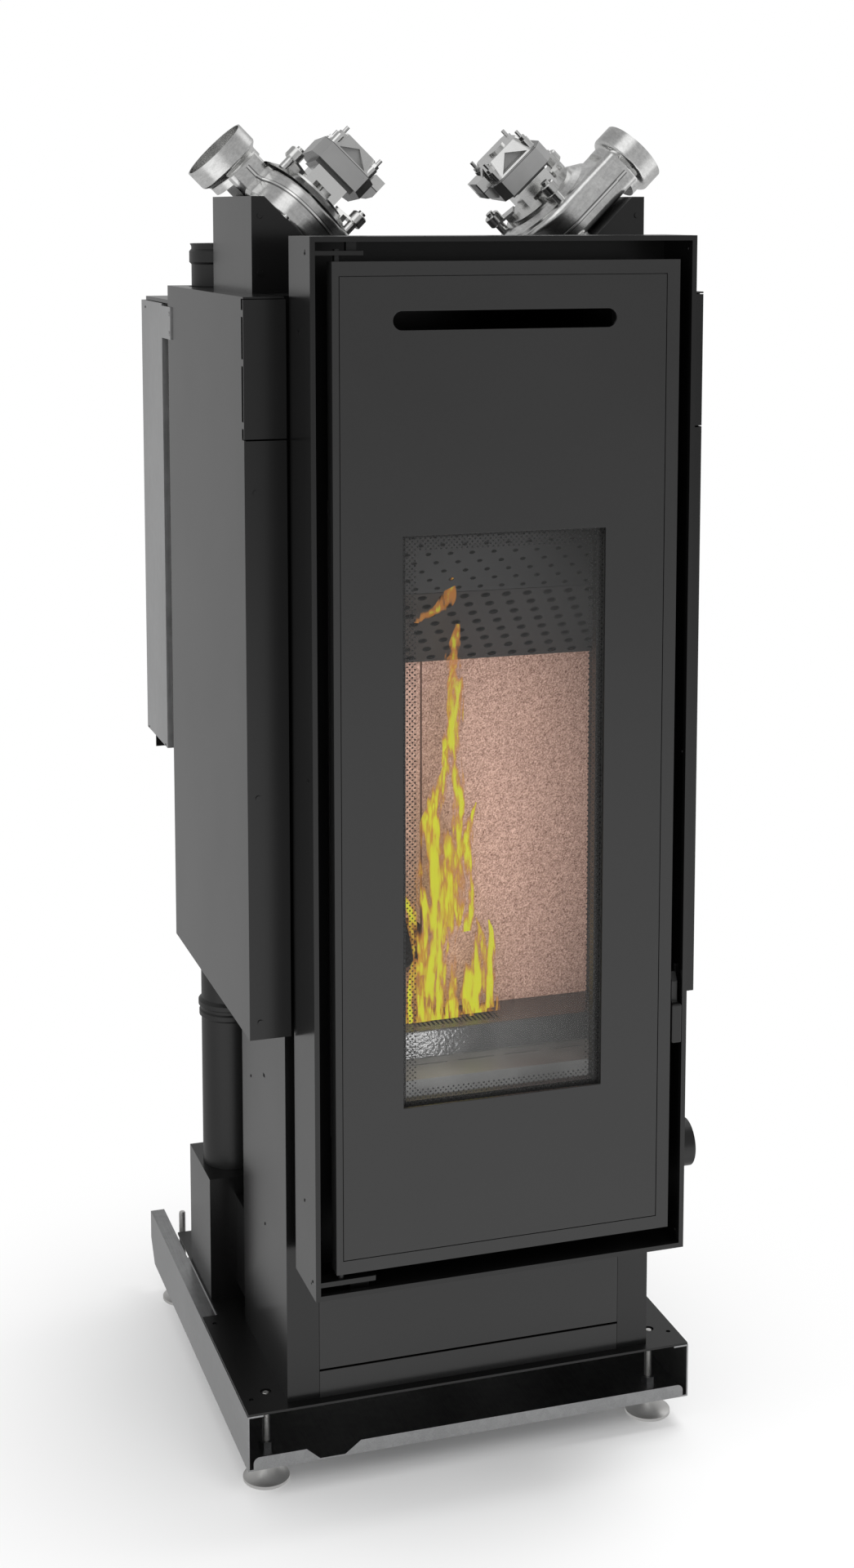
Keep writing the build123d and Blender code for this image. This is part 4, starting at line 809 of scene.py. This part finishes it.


# ---- Warm-air blowers ----
# Clam-shell casings of bright aluminium with turned and brushed marks, a bead along the seam with a
# painted highlight and painted shade in the crease beside it, and a round collar. A plate with three arms
# and bushes carries the motor: a spacer, a stack of laminations, a cast end shield and a black terminal
# block, with painted shade in the shield's windows and in the gaps by the laminations.
FAN_PLACE = (195.2, 304, 1556.2)
FAN_LEAN = radians(-45)
SEAM_HEIGHT = 0.029         # parting plane of the casing, which rises across it
SEAM_RISE = 0.0875
# half width of the seam bead, which is painted brighter as a highlight
BEAD_HALF = 0.0012
CREASE_START = (0.0011, 0.0014)     # distances from the seam between which the painted shade of the crease begins and ends
CREASE_END = (0.0018, 0.0034)
COLLAR_START = 0.084        # along the collar's axis
STACK_FOOT, STACK_TOP = 0.0962, 0.1208      # laminations, along the shaft
SHEETS_PER_METRE = 700
SPACER_TOP = 0.0905         # the bright spacer ends here
NECK_START = 0.0908         # and the recessed neck up to the laminations, painted dark as shade, begins here
LINE_HALF = 0.0007          # half the line of painted shade at the laminations' other end
HOLLOW_FOOT, HOLLOW_TOP = 0.1215, 0.1425    # windows of the end shield, painted dark as the shade inside them
HOLLOW_HALF = 0.0262
BLOCK_FACE = -0.0532        # the terminal block stands beyond this


def fan_space(finish, side):
    """Coordinates of one blower: X along its collar, Z along its shaft."""
    return finish.add("ShaderNodeMapping", {"vector_type": "TEXTURE"},
                      {"Vector": object_place(finish), "Location": at(side * FAN_PLACE[0], *FAN_PLACE[1:]),
                       "Rotation": (0, FAN_LEAN, 0 if side > 0 else pi)})


def brushed_casing(word, side):
    """Aluminium marked round the shaft and across, with a painted highlight on the seam bead and painted
    shade in the crease.
    """
    alloy = new_finish("blower_casing_" + word, metal=1.0)
    local = fan_space(alloy, side)
    x, y, z = local.part("X"), local.part("Y"), local.part("Z")
    radius = (x ** 2.0 + y ** 2.0) ** 0.5
    angle = y.math("ARCTAN2", x)
    rings = alloy.add("ShaderNodeCombineXYZ", values={0: radius * 260, 1: angle * 3, 2: z * 200})
    lines = alloy.add("ShaderNodeMapping", values={"Vector": local, "Rotation": (0, 0, 0.9),
                                                   "Scale": (300.0, 12.0, 200.0)})
    marks = noise(alloy, 1.0, 5.0, rings, 0.65) * 0.6 + noise(alloy, 1.0, 4.0, lines, 0.6) * 0.4
    cloud = noise(alloy, 30.0, 4.0)
    on_shell = x.below(COLLAR_START)
    from_seam = abs(z - y * SEAM_RISE - SEAM_HEIGHT)
    # painted shade in the crease beside the seam bead
    crease = from_seam.ramp(*CREASE_START) * from_seam.ramp(*CREASE_END, 1.0, 0.0)
    sheet = blend(alloy, (marks * 0.6 + cloud * 0.4).ramp(0.3, 0.7), (0.6, 0.6, 0.595), (0.95, 0.95, 0.94))
    # painted highlight along the seam bead
    sheet = blend(alloy, from_seam.below(BEAD_HALF) * on_shell, sheet, (0.98, 0.98, 0.97))
    # the crease's painted shade darkens the shell only
    wear(alloy, colour=blend(alloy, crease * on_shell, sheet, grey(0.2)),
         roughness=marks * 0.14 + cloud * 0.08 + 0.12, normal=bump(alloy, marks, 0.2, 0.0005))
    return alloy


def motor_finish(word, side):
    """Steel stack with its sheets showing, bright spacer and shield, a black terminal block, and painted
    shade in the shield's windows and gaps.
    """
    motor = new_finish("blower_motor_" + word)
    local = fan_space(motor, side)
    x, y, z = local.part("X"), local.part("Y"), local.part("Z")
    # painted shade inside the end shield's windows
    hollow = abs(x).larger(abs(y)).below(HOLLOW_HALF) * z.above(HOLLOW_FOOT) * z.below(HOLLOW_TOP)
    stack = z.above(STACK_FOOT) * z.below(STACK_TOP)
    block = x.below(BLOCK_FACE)
    # painted shade in the gap at the laminations' end and on the recessed neck
    gap_shade = abs(z - STACK_TOP).below(LINE_HALF).larger(z.above(NECK_START) * z.below(STACK_FOOT))
    sheets = (z * SHEETS_PER_METRE).math("FRACT").math("PINGPONG", 0.5) * 2
    cloud = noise(motor, 45.0, 4.0)
    grain = noise(motor, 800.0, 3.0)
    cast = blend(motor, cloud, (0.72, 0.72, 0.715), (0.94, 0.94, 0.93))
    cast = blend(motor, z.below(SPACER_TOP), cast, (0.93, 0.93, 0.92))
    steel = blend(motor, sheets * 0.4 + cloud * 0.6, (0.48, 0.48, 0.48), (0.68, 0.68, 0.675))
    # the terminal block is black plastic; the painted shade of the windows and gaps is added to it
    dark = block.larger(hollow * 0.55).larger(gap_shade * 0.85)
    wear(motor, colour=blend(motor, dark, blend(motor, stack, cast, steel), grey(0.012)), metal=1 - dark,
         roughness=cloud * 0.12 + grain * 0.06 + stack * 0.1 + block * 0.1 + 0.12,
         normal=bump(motor, grain * 0.4 + sheets * stack, 0.25, 0.0003))
    return motor


def bracket_finish(word, side):
    """Pressed steel plate and bushes, zinc-plated and bright."""
    plate = new_finish("motor_bracket_" + word, metal=1.0)
    local = fan_space(plate, side)
    x, y = local.part("X"), local.part("Y")
    rings = (x ** 2.0 + y ** 2.0) ** 0.5 * 900
    turned_marks = plate.add("ShaderNodeCombineXYZ", values={0: rings, 1: x * 60, 2: y * 60})
    marks = noise(plate, 1.0, 4.0, turned_marks)
    cloud = noise(plate, 40.0, 3.0)
    wear(plate, colour=blend(plate, marks * 0.5 + cloud * 0.5, (0.62, 0.62, 0.61), (0.92, 0.92, 0.91)),
         roughness=marks * 0.12 + cloud * 0.1 + 0.1, normal=bump(plate, marks, 0.15, 0.0003))
    return plate


for word, side in (("left", -1), ("right", 1)):
    dress(brushed_casing(word, side), "blower_shell_" + word)
    dress(motor_finish(word, side), "blower_motor_" + word)
    dress(bracket_finish(word, side), "blower_bracket_" + word, "blower_wheel_" + word)


# ---- Inner drives ----
# Auger in its feed tube with a gear motor, smoke-fan wheel with its motor, igniter rod and the painted
# control box. The motors' cast housings look like satin zinc, and the screw and the wheel are plated.
drive_casting = satin_steel("drive_casting", dark=(0.3, 0.3, 0.295), pale=(0.45, 0.45, 0.44),
                            roughness=0.34)
dress(drive_casting, "auger_gearmotor", "smoke_motor")
dress(plated, "auger_screw", "smoke_wheel", "igniter")
dress(body_paint, "feed_tube")
dress(box_paint, "control_box")
